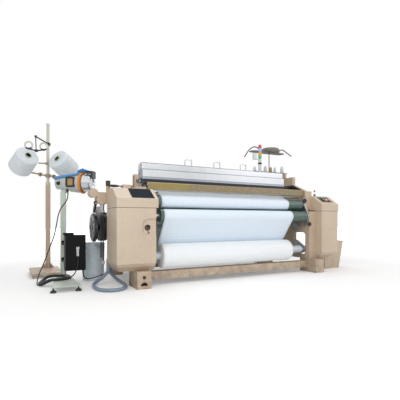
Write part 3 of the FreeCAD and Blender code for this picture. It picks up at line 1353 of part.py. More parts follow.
def backrest():
    """The back rest tube with its two rocking levers, each on a pin in its side frame."""
    tube = rod_x(REST_Y, REST_Z, REST_R, IN_L + 44, IN_R - 44).cut(
        rod_x(REST_Y, REST_Z, REST_R - 6, IN_L + 40, IN_R - 40))
    levers = []
    for x0, x1 in ((IN_L + 20, IN_L + 44), (IN_R - 44, IN_R - 20)):
        levers.append(slot_outline(REST_Y, REST_Z, REST_R, REST_Y, REST_PIVOT_Z, 34, x0, x1))
    pins = [rod_x(REST_Y, REST_PIVOT_Z, REST_PIN_R, IN_L - FRAME_T + 10, IN_L + 44),
            rod_x(REST_Y, REST_PIVOT_Z, REST_PIN_R, IN_R - 44, IN_R + FRAME_T - 10)]
    return fuse([tube] + levers + pins)


def warp_sheet():
    """The sheet of warp ends from the beam, over the back rest, to the rear of the harness."""
    lay = GAP + 0.5
    stops = [(BEAM_AXIS_Y + YARN_R + lay, BEAM_AXIS_Z - 400, 0, 1),
             (BEAM_AXIS_Y, BEAM_AXIS_Z, YARN_R + lay, 1), (REST_Y, REST_Z, REST_R + lay, 1),
             (HARNESS_Y + 3.6 * HARNESS_PITCH, WARP_Z, 0, 1)]
    sheet = ribbon(stops, 1.0, BARREL_X0 + 40, BARREL_X0 + BARREL_W - 40)
    return sheet.cut(box(0, 3000, BEAM_AXIS_Y - 500, BEAM_AXIS_Y + 600, 0, BEAM_AXIS_Z + 40))


# ---------------------------------------------------------------- signal lamps and selvage yarn
SIGNAL_X = 2045.0
SIGNAL_R = 23.0
SIGNAL_LOW = 1600.0         # underside of the lowest lamp
TRAY_Z = 1420.0
TRAY_Y0 = 690.0
TRAY_Y1 = 800.0
TRAY_X0 = 1990.0
TRAY_X1 = 2600.0
DISH_X = 2251.0
DISH_Y = 745.0
DISH_Z = 1722.0
DISH_HALF_L = 310.0
DISH_HALF_W = 70.0
DISH_T = 8.0


def signal_pole():
    """Pole of the signal lamps on the harness beam, with a small junction box behind it."""
    y = HARNESS_BEAM_Y + 20
    z0 = HARNESS_BEAM_Z + 50
    ring = SIGNAL_LOW - 78
    pole = revolve_z([(0, z0), (34, z0), (34, z0 + 8), (SIGNAL_R, z0 + 14), (SIGNAL_R, ring),
                      (SIGNAL_R + 5, ring + 3), (SIGNAL_R + 5, ring + 24), (SIGNAL_R, ring + 27),
                      (SIGNAL_R, SIGNAL_LOW), (0, SIGNAL_LOW)], SIGNAL_X, y)
    junction = box(SIGNAL_X - 122, SIGNAL_X - 63, y - 14, y + 14, SIGNAL_LOW - 16,
                   SIGNAL_LOW + 80)
    neck = box(SIGNAL_X - 66, SIGNAL_X - 15, y - 8, y + 8, SIGNAL_LOW - 14, SIGNAL_LOW - 1)
    return fuse([pole, junction, neck])


def signal_lamps():
    """Four lamp lenses stacked on the pole, with a dome on top."""
    y = HARNESS_BEAM_Y + 20
    height = 52.0
    lamps = []
    for index in range(3):
        z = SIGNAL_LOW + index * height
        lamps.append(revolve_z([(0, z), (SIGNAL_R, z), (SIGNAL_R + 2, z + 3),
                                (SIGNAL_R + 2, z + height - 5), (SIGNAL_R - 1, z + height - 3),
                                (SIGNAL_R - 1, z + height), (0, z + height)], SIGNAL_X, y))
    z = SIGNAL_LOW + 3 * height
    dome = rod_z(SIGNAL_X, y, SIGNAL_R + 2, z, z + height)
    top = [edge for edge in dome.Edges if abs(edge.BoundBox.ZMin - z - height) < 1e-6]
    lamps.append(dome.makeFillet(14, top))
    return group(lamps)


def selvage_stand():
    """Tray on the right frame, a stem up to the long dish, and two curved guide rods."""
    t = 2.5
    tray = box(TRAY_X0, TRAY_X1, TRAY_Y0, TRAY_Y1, TRAY_Z, TRAY_Z + 14)
    tray = tray.cut(box(TRAY_X0 + t, TRAY_X1 - t, TRAY_Y0 + t, TRAY_Y1 - t, TRAY_Z + t,
                        TRAY_Z + 15))
    post = fuse([box(IN_R + 4, IN_R + NECK_T - 4, BLOCK_BACK - 70, BLOCK_BACK - 10, FRAME_TOP,
                     FRAME_TOP + 8),
                 box(IN_R + 16, IN_R + 42, BLOCK_BACK - 60, TRAY_Y0 + 60, FRAME_TOP + 7,
                     TRAY_Z + 1)])
    stem = rod_z(DISH_X + 72, DISH_Y + 38, 7, TRAY_Z + t, DISH_Z + 1)
    reach = DISH_HALF_L - DISH_HALF_W
    dish = fuse([box(DISH_X - reach, DISH_X + reach, DISH_Y - DISH_HALF_W, DISH_Y + DISH_HALF_W,
                     DISH_Z, DISH_Z + DISH_T)]
                + [rod_z(DISH_X + side * reach, DISH_Y, DISH_HALF_W, DISH_Z, DISH_Z + DISH_T)
                   for side in (-1, 1)])
    return fuse([tray, post, stem, dish, curved_rod(-1, -150, 92), curved_rod(1, 226, 10)])


def curved_rod(side, offset, drop):
    """A guide rod that rises from the dish and arches down outside it."""
    r = 8.0
    start = Vector(DISH_X + offset, DISH_Y, DISH_Z + 3)
    points = [start, start + Vector(0, 0, 50), start + Vector(side * 72, 0, 78),
              start + Vector(side * 170, 0, 30), start + Vector(side * 255, 0, -drop)]
    path, _ = rounded_path(points)
    profile = Part.Wire(Part.makeCircle(r, start, Vector(0, 0, 1)))
    return path.makePipeShell([profile], True, False)


def cone_spool(x, y, z, r, height):
    """A small cone of yarn with a domed shoulder."""
    return revolve_z([(0, z), (r, z), (r * 0.9, z + height * 0.6), (r * 0.7, z + height * 0.8),
                      (r * 0.3, z + height * 0.9), (r * 0.3, z + height), (0, z + height)], x, y)


def selvage_spools():
    """Selvage spools standing in the tray, and the wide one lying on the dish."""
    z = TRAY_Z + 2.5
    middle = (TRAY_Y0 + TRAY_Y1) / 2
    places = [(34, 26, 86), (234, 28, 112), (333, 25, 102), (414, 22, 102), (554, 30, 126)]
    spools = [cone_spool(TRAY_X0 + along, middle, z, r, h) for along, r, h in places]
    low = DISH_Z + DISH_T
    wide = revolve_z([(0, low), (130, low), (140, low + 10), (137, low + 52), (104, low + 68),
                      (40, low + 76), (0, low + 76)], DISH_X + 64, DISH_Y)
    return group(spools + [wide])


# ---------------------------------------------------------------- yarn stand
def creel_stand():
    """Welded foot of the yarn stand: folded plate, pegs, gussets and square post."""
    x0 = STAND_X - 230
    x1 = STAND_X + 130
    y0 = STAND_Y - 560
    y1 = STAND_Y + 90
    top = 62.0
    half = STAND_POST / 2
    plate = box(x0, x1, y0, y1, top - 6, top)
    folds = [box(x0, x1, y0, y0 + 5, top - 26, top - 6), box(x0, x1, y1 - 5, y1, top - 26, top - 6),
             box(x0, x0 + 5, y0, y1, top - 26, top - 6), box(x1 - 5, x1, y0, y1, top - 26, top - 6)]
    pegs = [rod_z(x, y, 9, 0, top - 5) for x in (x0 + 22, x1 - 22) for y in (y0 + 30, y1 - 30)]
    post = box(STAND_X - half, STAND_X + half, STAND_Y - half, STAND_Y + half, top - 1,
               STAND_POST_TOP)
    bore = box(STAND_X - half + 4, STAND_X + half - 4, STAND_Y - half + 4, STAND_Y + half - 4,
               top, STAND_POST_TOP + 1)
    gusset = [prism_y([(STAND_X + half, top), (STAND_X + half + 50, top),
                       (STAND_X + half, top + 70)], STAND_Y - 4, STAND_Y + 4),
              prism_y([(STAND_X - half, top), (STAND_X - half - 50, top),
                       (STAND_X - half, top + 70)], STAND_Y - 4, STAND_Y + 4),
              prism_x([(STAND_Y - half, top), (STAND_Y - half - 60, top),
                       (STAND_Y - half, top + 80)], STAND_X - 4, STAND_X + 4)]
    cap = box(STAND_X - half, STAND_X + half, STAND_Y - half, STAND_Y + half,
              STAND_POST_TOP - 6, STAND_POST_TOP)
    seat = rod_z(STAND_X, STAND_Y, MAST_R, STAND_POST_TOP - 7, STAND_POST_TOP + 1)
    body = fuse([plate] + folds + pegs + [post.cut(bore)] + gusset + [cap])
    return body.cut(seat)


def creel_mast():
    """The upper tube of the yarn stand, with the collar that seats it on the post."""
    tube = rod_z(STAND_X, STAND_Y, MAST_R, STAND_POST_TOP - 6, MAST_TOP - 8).cut(
        rod_z(STAND_X, STAND_Y, MAST_R - 3, STAND_POST_TOP - 7, MAST_TOP - 10))
    collar = rod_z(STAND_X, STAND_Y, MAST_R + 12, STAND_POST_TOP, STAND_POST_TOP + 32)
    cap = rod_z(STAND_X, STAND_Y, MAST_R + 3, MAST_TOP - 14, MAST_TOP)
    return fuse([tube, collar.cut(rod_z(STAND_X, STAND_Y, MAST_R - 1, STAND_POST_TOP - 1,
                                        STAND_POST_TOP + 33)), cap])


def axis_frame(base, axis):
    """Placement that stands a Z-built piece on a base point along an axis."""
    turn = FreeCAD.Rotation(Vector(0, 0, 1), Vector(*axis))
    return FreeCAD.Placement(Vector(*base), turn)


LEFT_PACKAGE = (-998.0, 1750.0, 1488.0)
LEFT_AXIS = (0.362, -0.749, 0.549)
RIGHT_PACKAGE = (-512.0, 1660.0, 1469.0)
RIGHT_AXIS = (-0.679, -0.534, 0.504)


def package_seats():
    """Base point and unit axis of each yarn package."""
    seats = []
    for centre, axis in ((LEFT_PACKAGE, LEFT_AXIS), (RIGHT_PACKAGE, RIGHT_AXIS)):
        unit = Vector(*axis)
        unit.normalize()
        seats.append((Vector(*centre) - unit * (PACKAGE_L / 2), unit))
    return seats


def yarn_package(base, unit):
    """A wound package on its tapered tube."""
    wound = revolve_z([(PACKAGE_BORE + 4, 0), (PACKAGE_R - 8, 0), (PACKAGE_R, 8),
                       (PACKAGE_R - 6, PACKAGE_L - 14), (PACKAGE_R - 20, PACKAGE_L),
                       (PACKAGE_BORE + 4, PACKAGE_L)], 0, 0)
    tube = revolve_z([(PACKAGE_BORE, -8), (PACKAGE_BORE + 4, -8),
                      (PACKAGE_BORE + 4, PACKAGE_L + 12), (PACKAGE_BORE, PACKAGE_L + 12)], 0, 0)
    package = fuse([wound, tube])
    package.Placement = axis_frame(base, unit)
    return package


def yarn_packages():
    """The two packages on the stand."""
    return group([yarn_package(base, unit) for base, unit in package_seats()])


def peg(base, unit):
    """Round plate and spindle that a package sits on."""
    spindle = revolve_z([(0, -30), (14, -30), (14, -16), (70, -12), (70, -8 - GAP),
                         (PACKAGE_BORE - GAP, -8 - GAP), (PACKAGE_BORE - 8, PACKAGE_L * 0.7),
                         (0, PACKAGE_L * 0.7 + 20)], 0, 0)
    spindle.Placement = axis_frame(base, unit)
    return spindle


def bar_between(a, b, r):
    """A round bar from one point to another."""
    line = b - a
    return Part.makeCylinder(r, line.Length, a, line)


def mast_clamp(z, height):
    """A split clamp round the mast."""
    ring = rod_z(STAND_X, STAND_Y, MAST_R + 14, z, z + height)
    lug = box(STAND_X - 12, STAND_X + 12, STAND_Y - MAST_R - 34, STAND_Y, z, z + height)
    return fuse([ring, lug]).cut(rod_z(STAND_X, STAND_Y, MAST_R, z - 1, z + height + 1))


def bent_bar(points, r):
    """A round bar bent at each inner point."""
    path, _ = rounded_path(points, 24)
    profile = Part.Wire(Part.makeCircle(r, points[0], points[1] - points[0]))
    return path.makePipeShell([profile], True, False)


def creel_arms():
    """The clamps on the mast, the two bent arms with their package pegs and a short bar."""
    clamp_z = 1303.0
    spare_z = 1478.0
    pieces = [mast_clamp(clamp_z, 46), mast_clamp(spare_z, 26),
              rod_x(STAND_Y, spare_z + 13, 9, STAND_X - 120, STAND_X - MAST_R - 6)]
    level = clamp_z + 23
    (left_base, left_unit), (right_base, right_unit) = package_seats()
    left_low = left_base - left_unit * 28
    right_low = right_base - right_unit * 28
    left = [Vector(STAND_X - MAST_R - 11, STAND_Y, level),
            Vector(STAND_X - 160, STAND_Y + 135, level + 40),
            Vector(left_low.x, STAND_Y + 135, level + 69), left_low]
    right = [Vector(STAND_X + MAST_R + 11, STAND_Y, level),
             Vector(STAND_X + 100, STAND_Y + 100, level),
             Vector(right_low.x + 3, STAND_Y + 110, level + 4), right_low]
    for line in (left, right):
        pieces.append(bent_bar(line, 11))
        along = line[1] - line[0]
        along.normalize()
        collar = line[0] + along * 80
        pieces.append(bar_between(collar, collar + along * 22, 28))
    pieces.append(peg(left_base, left_unit))
    pieces.append(peg(right_base, right_unit))
    return fuse(pieces)


def yarn_guide():
    """Clamp, arm and drop rod that carry the forked guide with its two eyelets."""
    clamp_z = 1742.0
    root = Vector(STAND_X, STAND_Y - MAST_R - 26, clamp_z + 15)
    tip = Vector(-868, 1500, 1786)
    low = Vector(-862, 1500, 1603)
    arm = bar_between(root, tip, 9)
    drop_line = tip - low
    drop_line.normalize()
    drop = bar_between(low + drop_line * 13, tip - drop_line * 11, 6)
    fork = []
    eyes = []
    face = Vector(0.3, 0.95, 0)
    for side in (-1, 1):
        eye = low + Vector(side * 88, 8, 66)
        tip_of_fork = eye + Vector(1, 3.5, -44)
        fork_line = tip_of_fork - low
        fork_line.normalize()
        fork.append(bar_between(low + fork_line * 8, tip_of_fork, 9))
        fork.append(bar_between(tip_of_fork - face * 12, tip_of_fork + face * 12, 13))
        eyes.append(Part.makeCylinder(54, 7, eye, face).cut(
            Part.makeCylinder(33, 11, eye - face * 2, face)))
    knuckle = rod_z(low.x, low.y, 19, low.z - 15, low.z + 15)
    joint = box(tip.x - 13, tip.x + 13, tip.y - 13, tip.y + 13, tip.z - 13, tip.z + 13)
    return fuse([mast_clamp(clamp_z, 30), arm, drop, joint, knuckle] + fork + eyes)


# ---------------------------------------------------------------- weft feeder
def feeder_frame(shape):
    """Turn a feeder piece that was built along X and set it on its post."""
    shape = shape.copy()
    shape.rotate(Vector(0, 0, 0), Vector(0, 0, 1), FEEDER_TURN)
    shape.translate(Vector(FEEDER_X, FEEDER_Y, FEEDER_Z))
    return shape


def feeder_plate_outline():
    """Corners of the tapered foot plate of the feeder stand."""
    return [(-803, 205), (-510, 205), (FEEDER_X + 52, FEEDER_Y + 60),
            (FEEDER_X - 52, FEEDER_Y + 60)]


def feeder_stand():
    """Tapered plate, square post, gusset and the cradle under the feeder."""
    top = FEEDER_PLATE_Z + FEEDER_PLATE_T
    half = FEEDER_POST / 2
    plate = prism_z(feeder_plate_outline(), FEEDER_PLATE_Z, top)
    post = box(FEEDER_X - half, FEEDER_X + half, FEEDER_Y - half, FEEDER_Y + half, top - 1,
               FEEDER_POST_TOP)
    bore = box(FEEDER_X - half + 4, FEEDER_X + half - 4, FEEDER_Y - half + 4,
               FEEDER_Y + half - 4, top, FEEDER_POST_TOP - 6)
    gusset = prism_x([(FEEDER_Y - half, top), (FEEDER_Y - half - 90, top),
                      (FEEDER_Y - half, top + 120)], FEEDER_X - 4, FEEDER_X + 4)
    neck = FEEDER_POST_TOP - FEEDER_Z
    cradle = feeder_frame(prism_y([(-FEEDER_POST / 2, neck), (FEEDER_POST / 2, neck),
                                   (FEEDER_POST / 2 + 6, neck + 8), (46, FEEDER_FLAT),
                                   (-8, FEEDER_FLAT)], -24, 24))
    return fuse([plate, post.cut(bore), gusset, cradle])


def feeder_feet_places():
    """Where the three levelling feet stand."""
    return [(-775, 240), (-538, 240), (FEEDER_X, FEEDER_Y + 25)]


def feeder_feet():
    """Bell-shaped levelling feet."""
    feet = []
    for x, y in feeder_feet_places():
        feet.append(revolve_z([(0, 0), (30, 0), (30, 8), (24, 20), (12, 26), (7, 30),
                               (7, FEEDER_PLATE_Z), (0, FEEDER_PLATE_Z)], x, y))
    return group(feet)


def feeder_profile(grow):
    """Turned outline of the feeder's housing, or of a shell round it that is larger all over."""
    return [(-80 - grow, 0), (-80 - grow, 58 + grow), (-66 - grow / 2, 76 + grow), (60, 98 + grow),
            (200, 116 + grow), (236 + min(grow, 2), 118 + grow), (236 + min(grow, 2), 0)]


def feeder_body():
    """The feeder's housing, drum, side knob and window, in one line along the yarn."""
    housing = revolve_x(feeder_profile(0), 0, 0)
    housing = housing.cut(box(-160, 100, -140, 140, -140, FEEDER_FLAT))
    drum = revolve_x([(262, 0), (262, DRUM_R - 14), (276, DRUM_R - 14), (276, DRUM_R),
                      (352, DRUM_R - 5), (366, DRUM_R - 18), (366, 60), (356, 52), (356, 0)],
                     0, 0)
    spindle = rod_x(0, 0, 18, 230, 270)
    plate = box(92, 198, -122, -60, -56, 62)
    corners = [edge for edge in plate.Edges if abs(edge.Length - 62) < 1e-6]
    plate = plate.makeFillet(16, corners)
    window = box(110, 180, -123, -114, -38, 44)
    knob = fuse([rod_y(-15, -8, 20, -100, -50), rod_y(-15, -8, 14, -112, -100)])
    body = feeder_frame(fuse([housing, drum, spindle, plate, knob]).cut(window))
    x, y, z = FEEDER_GLAND
    return fuse([body, rod_z(x, y, CABLE_D / 2 + 4, z, FEEDER_Z - 60)])


def feeder_cover():
    """The moulded top cover: a shell over the housing with a beak over the drum."""
    outer = revolve_x(feeder_profile(12), 0, 0)
    inner = revolve_x(feeder_profile(GAP), 0, 0)
    ledge = rod_x(0, 0, 118 + GAP, 230, 240)
    shell = outer.cut(inner).cut(ledge)
    shell = shell.common(prism_y([(-100, 38), (240, 92), (240, 150), (-100, 150)], -150, 150))
    beak = prism_y([(188, 124), (206, 152), (262, 170), (300, 154), (394, 128), (394, 114),
                    (280, 133), (237, 133), (237, 124)], -34, 34)
    sensor = box(292, 394, -62, 30, 107, 134)
    eyelet = box(374, 396, -62, 30, 48, 134)
    return feeder_frame(fuse([shell, beak, sensor, eyelet]))


def feeder_flyer():
    """The winding ring that lays yarn on the drum."""
    x0 = 239.0
    x1 = 259.0
    ring = revolve_x([(x0, 18 + RUN_FIT), (x0, RING_R - 4), (x0 + 4, RING_R), (x1 - 4, RING_R),
                      (x1, RING_R - 4), (x1, 18 + RUN_FIT)], 0, 0)
    return feeder_frame(ring)


# ---------------------------------------------------------------- vessels and box
def control_box():
    """Black inverter box on two flat arms from the feeder's post."""
    x0 = FEEDER_X - 27
    x1 = x0 + 215
    y0 = 612.0
    y1 = 745.0
    body = box(x0, x1, y0, y1, 155, 547)
    corners = [edge for edge in body.Edges if abs(edge.Length - 392) < 1e-6]
    body = body.makeFillet(6, corners)
    lid = box(x0 + 8, x1 - 8, y0 - 3, y0 + 1, 165, 537)
    plug = box(x0 - 14, x0 + 90, y0 + 20, y1 - 20, 546, 572)
    arms = [box(FEEDER_X - 20, FEEDER_X + 20, y1 - 1, FEEDER_Y - FEEDER_POST / 2, z, z + 8)
            for z in (240, 440)]
    pads = [box(FEEDER_X - 24, FEEDER_X + 24, FEEDER_Y - FEEDER_POST / 2 - 6,
                FEEDER_Y - FEEDER_POST / 2, z - 20, z + 28) for z in (240, 440)]
    gx, gy, gz = BOX_GLAND
    px, py, pz = BOX_PLUG
    gland = [rod_z(gx, gy, CABLE_D / 2 + 5, gz, 156), rod_z(px, py, 13, pz, pz + 72),
             rod_z(px, py, 10, pz + 70, pz + 96), box(px - 12, px + 12, py, y0, pz + 40, pz + 80)]
    return fuse([body, lid, plug] + arms + pads + gland)


def bucket():
    """A round tapered bucket with rolled rim bands."""
    r0 = BUCKET_R - 14
    t = BUCKET_WALL
    outer = revolve_z([(0, 0), (r0, 0), (BUCKET_R - 3, BUCKET_H - 60), (BUCKET_R, BUCKET_H - 58),
                       (BUCKET_R, BUCKET_H - 50), (BUCKET_R - 3, BUCKET_H - 48),
                       (BUCKET_R - 3, BUCKET_H - 12), (BUCKET_R + 2, BUCKET_H - 10),
                       (BUCKET_R + 2, BUCKET_H), (0, BUCKET_H)], BUCKET_X, BUCKET_Y)
    inner = revolve_z([(0, t), (r0 - t, t), (BUCKET_R - 3 - t, BUCKET_H + 1),
                       (0, BUCKET_H + 1)], BUCKET_X, BUCKET_Y)
    return outer.cut(inner)


def rect_wire(x0, x1, y0, y1, z):
    """A closed rectangle at a height."""
    return Part.makePolygon([Vector(x0, y0, z), Vector(x1, y0, z), Vector(x1, y1, z),
                             Vector(x0, y1, z), Vector(x0, y0, z)])


def waste_bin():
    """A tapered sheet bin with a folded rim."""
    t = BIN_WALL
    low = (2925, 3215, 250, 450)
    high = (2893, 3278, 222, 480)
    outer = Part.makeLoft([rect_wire(*low, 0), rect_wire(*high, BIN_H)], True)
    inner = Part.makeLoft([rect_wire(low[0] + t, low[1] - t, low[2] + t, low[3] - t, t),
                           rect_wire(high[0] + t, high[1] - t, high[2] + t, high[3] - t,
                                     BIN_H + 1)], True)
    rim = box(high[0] - 8, high[1] + 8, high[2] - 8, high[3] + 8, BIN_H - 14, BIN_H)
    return fuse([outer, rim]).cut(inner)


# ---------------------------------------------------------------- cords
COIL_X = -712.0
COIL_Y = 745.0
COIL_OUT = 176.0
COIL_IN_TURNS = 4.0         # turns wound inwards in the lower layer
COIL_CLIMB = 0.5            # turns in which the cable climbs to the upper layer
COIL_OUT_TURNS = 3.75       # turns wound outwards in the upper layer
COIL_PITCH = 13.6
COIL_LAYER = 13.2
COIL_LOW = CABLE_D / 2 + GAP
COIL_HIGH = FEEDER_PLATE_Z + FEEDER_PLATE_T + CABLE_D / 2 + 4 * GAP
COIL_RAMP = (-884.0, -752.0)   # where the coil rises from the floor on to the feeder's plate


def coil_base(x):
    """Height and slope of the surface that the coil is draped on."""
    x0, x1 = COIL_RAMP
    part = min(1.0, max(0.0, (x - x0) / (x1 - x0)))
    height = COIL_LOW + (COIL_HIGH - COIL_LOW) * (3 * part ** 2 - 2 * part ** 3)
    slope = (COIL_HIGH - COIL_LOW) * 6 * part * (1 - part) / (x1 - x0)
    return height, slope


def coil_point(turn):
    """A point of the coil's centre line after a number of turns.

    The radius falls by one pitch a turn, stays level while the cable climbs a layer, and grows
    again. The upper layer stands higher where the surface slopes, so that its skin stays clear.
    """
    angle = 2 * math.pi * turn + math.pi
    inner = COIL_OUT - COIL_PITCH * COIL_IN_TURNS
    if turn <= COIL_IN_TURNS:
        radius = COIL_OUT - COIL_PITCH * turn
        layer = 0.0
    elif turn <= COIL_IN_TURNS + COIL_CLIMB:
        part = (turn - COIL_IN_TURNS) / COIL_CLIMB
        radius = inner + COIL_PITCH * COIL_CLIMB * (part ** 2 - part)
        layer = COIL_LAYER * (3 * part ** 2 - 2 * part ** 3)
    else:
        radius = inner + COIL_PITCH * (turn - COIL_IN_TURNS - COIL_CLIMB)
        layer = COIL_LAYER
    x = COIL_X + radius * math.cos(angle)
    y = COIL_Y + radius * math.sin(angle)
    height, slope = coil_base(x)
    return Vector(x, y, height + layer * math.hypot(1, slope))


COIL_TOTAL = COIL_IN_TURNS + COIL_CLIMB + COIL_OUT_TURNS


def coil_tangent(turn):
    """Direction of the coil's centre line."""
    step = 1e-4
    line = coil_point(turn + step) - coil_point(turn - step)
    line.normalize()
    return line


def coil_ends():
    """The coil's two free ends, each with the direction in which it leaves the coil."""
    start_dir = coil_tangent(0) * -1
    stop_dir = coil_tangent(COIL_TOTAL)
    start = coil_point(0) + start_dir * CABLE_D
    stop = coil_point(COIL_TOTAL) + stop_dir * CABLE_D
    return start, start_dir, stop, stop_dir


def cable_coil():
    """The spare cable, wound in and out in two layers: one unbroken tube."""
    steps = round(COIL_TOTAL * 4)
    edges = []
    for index in range(steps):
        a = COIL_TOTAL * index / steps
        b = COIL_TOTAL * (index + 1) / steps
        edges.extend(biarc(coil_point(a), coil_tangent(a), coil_point(b), coil_tangent(b)))
    start, start_dir, stop, _ = coil_ends()
    lead_in = Part.LineSegment(start, coil_point(0)).toShape()
    lead_out = Part.LineSegment(coil_point(COIL_TOTAL), stop).toShape()
    path = Part.Wire(Part.__sortEdges__([lead_in] + edges + [lead_out]))
    profile = Part.Wire(Part.makeCircle(CABLE_D / 2, start, start_dir))
    coil = path.makePipeShell([profile], True, False)
    expected = math.pi * CABLE_D ** 2 / 4 * path.Length
    print("cable_coil length", round(path.Length), "least gap", round(coil_gap(), 2),
          "volume ratio", round(coil.Volume / expected, 4))
    return coil


def coil_gap():
    """Least distance between the skins of neighbouring turns, measured on points."""
    per_turn = 60
    count = round(COIL_TOTAL * per_turn)
    points = [coil_point(index / per_turn) for index in range(count + 1)]
    least = 1e9
    for i, a in enumerate(points):
        for b in points[i + per_turn // 3:]:
            least = min(least, a.distanceToPoint(b))
    return least - CABLE_D


def feeder_cable_route():
    """From the gland under the feeder, down beside the post to the coil on the floor."""
    entry, direction, _, _ = coil_ends()
    lead = entry + direction * 75
    return [FEEDER_GLAND, (-541, 1004, 1010), (-552, 990, 955), (-590, 960, 900),
            (-630, 935, 850), (-658, 915, 780), (-672, 905, 700), (-688, 900, 610),
            (-708, 900, 520), (-736, 905, 440), (-768, 910, 350), (-800, 920, 250),
            (-832, 930, 170), (-862, 925, 95), (-882, 890, 32), tuple(lead), tuple(entry)]


def box_cable_route():
    """From the coil's upper end to the plug on the front of the control box."""
    _, _, leave, direction = coil_ends()
    lead = leave + direction * 75
    return [tuple(leave), tuple(lead), (-556, 575, 92), (-515, 580, 140), (-497, 586, 205),
            (BOX_PLUG[0], BOX_PLUG[1], 260), BOX_PLUG]


def power_cable_route():
    """From under the control box, over the drain hose, to the gland on the left frame."""
    return [BOX_GLAND, (-424, 662, 99), (-403, 673, 58), (-366, 689, 40), (-308, 704, 44),
            (-240, 724, 58), (-180, 752, 72), (-112, 792, 94), (-58, 836, 120), (-18, 868, 158),
            (FRAME_GLAND[0], FRAME_GLAND[1], 206), FRAME_GLAND]


def drain_hose_route():
    """A loop on the floor between the two drain outlets of the left frame."""
    return [DRAIN_FRONT, (-165, 500, 185), (-188, 498, 130), (-236, 493, 82), (-296, 478, 46),
            (-348, 428, 24), (-374, 335, 19.3), (-380, 215, 19.3), (-368, 112, 19.3),
            (-326, 36, 19.3), (-250, -2, 19.3), (-164, 12, 19.3), (-102, 86, 19.3),
            (-64, 200, 19.3), (-50, 320, 19.3), (-54, 430, 23), (-74, 512, 38),
            (-100, 582, 70), (-124, 622, 108), (-136, 645, 160), DRAIN_REAR]


PARTS = {
    "side_frame_left": side_frame_left,
    "side_frame_right": side_frame_right,
    "tie_beams": tie_beams,
    "floor_feet": floor_feet,
    "breast_beam": breast_beam,
    "left_cover": left_cover,
    "left_console": lambda: fuse([left_console(), lever_stand()]),
    "touch_panel": touch_panel,
    "right_cover": right_cover,
    "right_console": lambda: fuse([right_console(), stop_socket()]),
    "roller_brackets": roller_brackets,
    "surface_roller": surface_roller,
    "press_roller_upper": lambda: press_roller(UPPER_Y, UPPER_Z, UPPER_R),
    "press_roller_lower": lambda: press_roller(LOWER_Y, LOWER_Z, LOWER_R),
    "takeup_gear": takeup_gear,
    "cloth_roll": cloth_roll,
    "cloth_sheet": cloth_sheet,
    "water_tray": water_tray,
    "sley": sley,
    "reed": reed,
    "heald_frames_front": lambda: heald_frames(0, 0.0),
    "heald_frames_rear": lambda: heald_frames(1, SHED),
    "harness_beam": harness_beam,
    "main_shaft": main_shaft,
    "motor": motor,
    "motor_pulley": motor_pulley,
    "drive_belt": drive_belt,
    "belt_guard": belt_guard,
    "water_jet_pump": water_jet_pump,
    "hand_lever": hand_lever,
    "stop_lever": stop_lever,
    "warp_beam": warp_beam,
    "backrest": backrest,
    "warp_sheet": warp_sheet,
    "signal_pole": signal_pole,
    "signal_lamps": signal_lamps,
    "selvage_stand": selvage_stand,
    "selvage_spools": selvage_spools,
    "creel_stand": creel_stand,
    "creel_mast": creel_mast,
    "creel_arms": creel_arms,
    "yarn_packages": yarn_packages,
    "yarn_guide": yarn_guide,
    "feeder_stand": feeder_stand,
    "feeder_feet": feeder_feet,
    "feeder_body": feeder_body,
    "feeder_cover": feeder_cover,
    "feeder_flyer": feeder_flyer,
    "control_box": control_box,
    "bucket": bucket,
    "waste_bin": waste_bin,
    "cable_coil": cable_coil,
    "feeder_cable": lambda: cord_tube("feeder_cable", feeder_cable_route(), CABLE_D),
    "box_cable": lambda: cord_tube("box_cable", box_cable_route(), CABLE_D),
    "power_cable": lambda: cord_tube("power_cable", power_cable_route(), CABLE_D),
    "drain_hose": lambda: cord_tube("drain_hose", drain_hose_route(), HOSE_D),
}
for button, button_x, button_along, button_r in button_places():
    PARTS[button] = lambda x=button_x, a=button_along, r=button_r: push_button(x, a, r)

ORIGIN = Vector(FOOT_W / 2, FOOT_L / 2, 0)
for name, build in PARTS.items():
    shape = build()
    shape.translate(ORIGIN * -1)
    bad = [s for s in shape.Solids if not s.isValid()]
    print(name, "solids", len(shape.Solids), "volume", round(shape.Volume), "faces",
          len(shape.Faces), "BAD" if bad else "")
    shape.exportStep("parts/" + name + ".step")
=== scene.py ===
# %% [markdown]
# # A water-jet loom
# The loom's rigid parts come from the drawing. This lesson gives them their finishes, and makes
# what a drawing program does badly: cloth, yarn, cable and hose, each as a surface worked out
# from a formula, or as a curve.
#
# Places are written in millimetres from the left front corner of the left front foot, as on
# the drawing, and `metres` turns them into the frame's metres.

# %% Load the frame
import bpy
import bmesh
import json
import math
import numpy as np
from mathutils import Euler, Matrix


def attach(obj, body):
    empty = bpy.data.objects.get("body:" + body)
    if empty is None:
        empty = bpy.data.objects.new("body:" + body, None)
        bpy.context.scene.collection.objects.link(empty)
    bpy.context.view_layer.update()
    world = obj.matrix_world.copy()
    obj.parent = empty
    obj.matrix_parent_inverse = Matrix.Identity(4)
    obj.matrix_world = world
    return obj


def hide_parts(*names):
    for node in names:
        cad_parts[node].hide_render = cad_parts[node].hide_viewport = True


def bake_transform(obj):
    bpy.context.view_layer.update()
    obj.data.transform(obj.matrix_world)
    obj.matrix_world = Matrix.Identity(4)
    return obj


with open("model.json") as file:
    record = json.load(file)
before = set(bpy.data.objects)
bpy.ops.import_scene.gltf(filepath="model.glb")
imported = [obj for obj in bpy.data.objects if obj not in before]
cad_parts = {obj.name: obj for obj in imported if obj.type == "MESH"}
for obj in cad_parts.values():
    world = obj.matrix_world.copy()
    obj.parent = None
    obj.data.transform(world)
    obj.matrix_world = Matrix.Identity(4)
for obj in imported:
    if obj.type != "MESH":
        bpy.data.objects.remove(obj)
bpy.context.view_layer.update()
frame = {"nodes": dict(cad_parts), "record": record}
FOOT_CENTRE = (75.0, 150.0, 0.0)


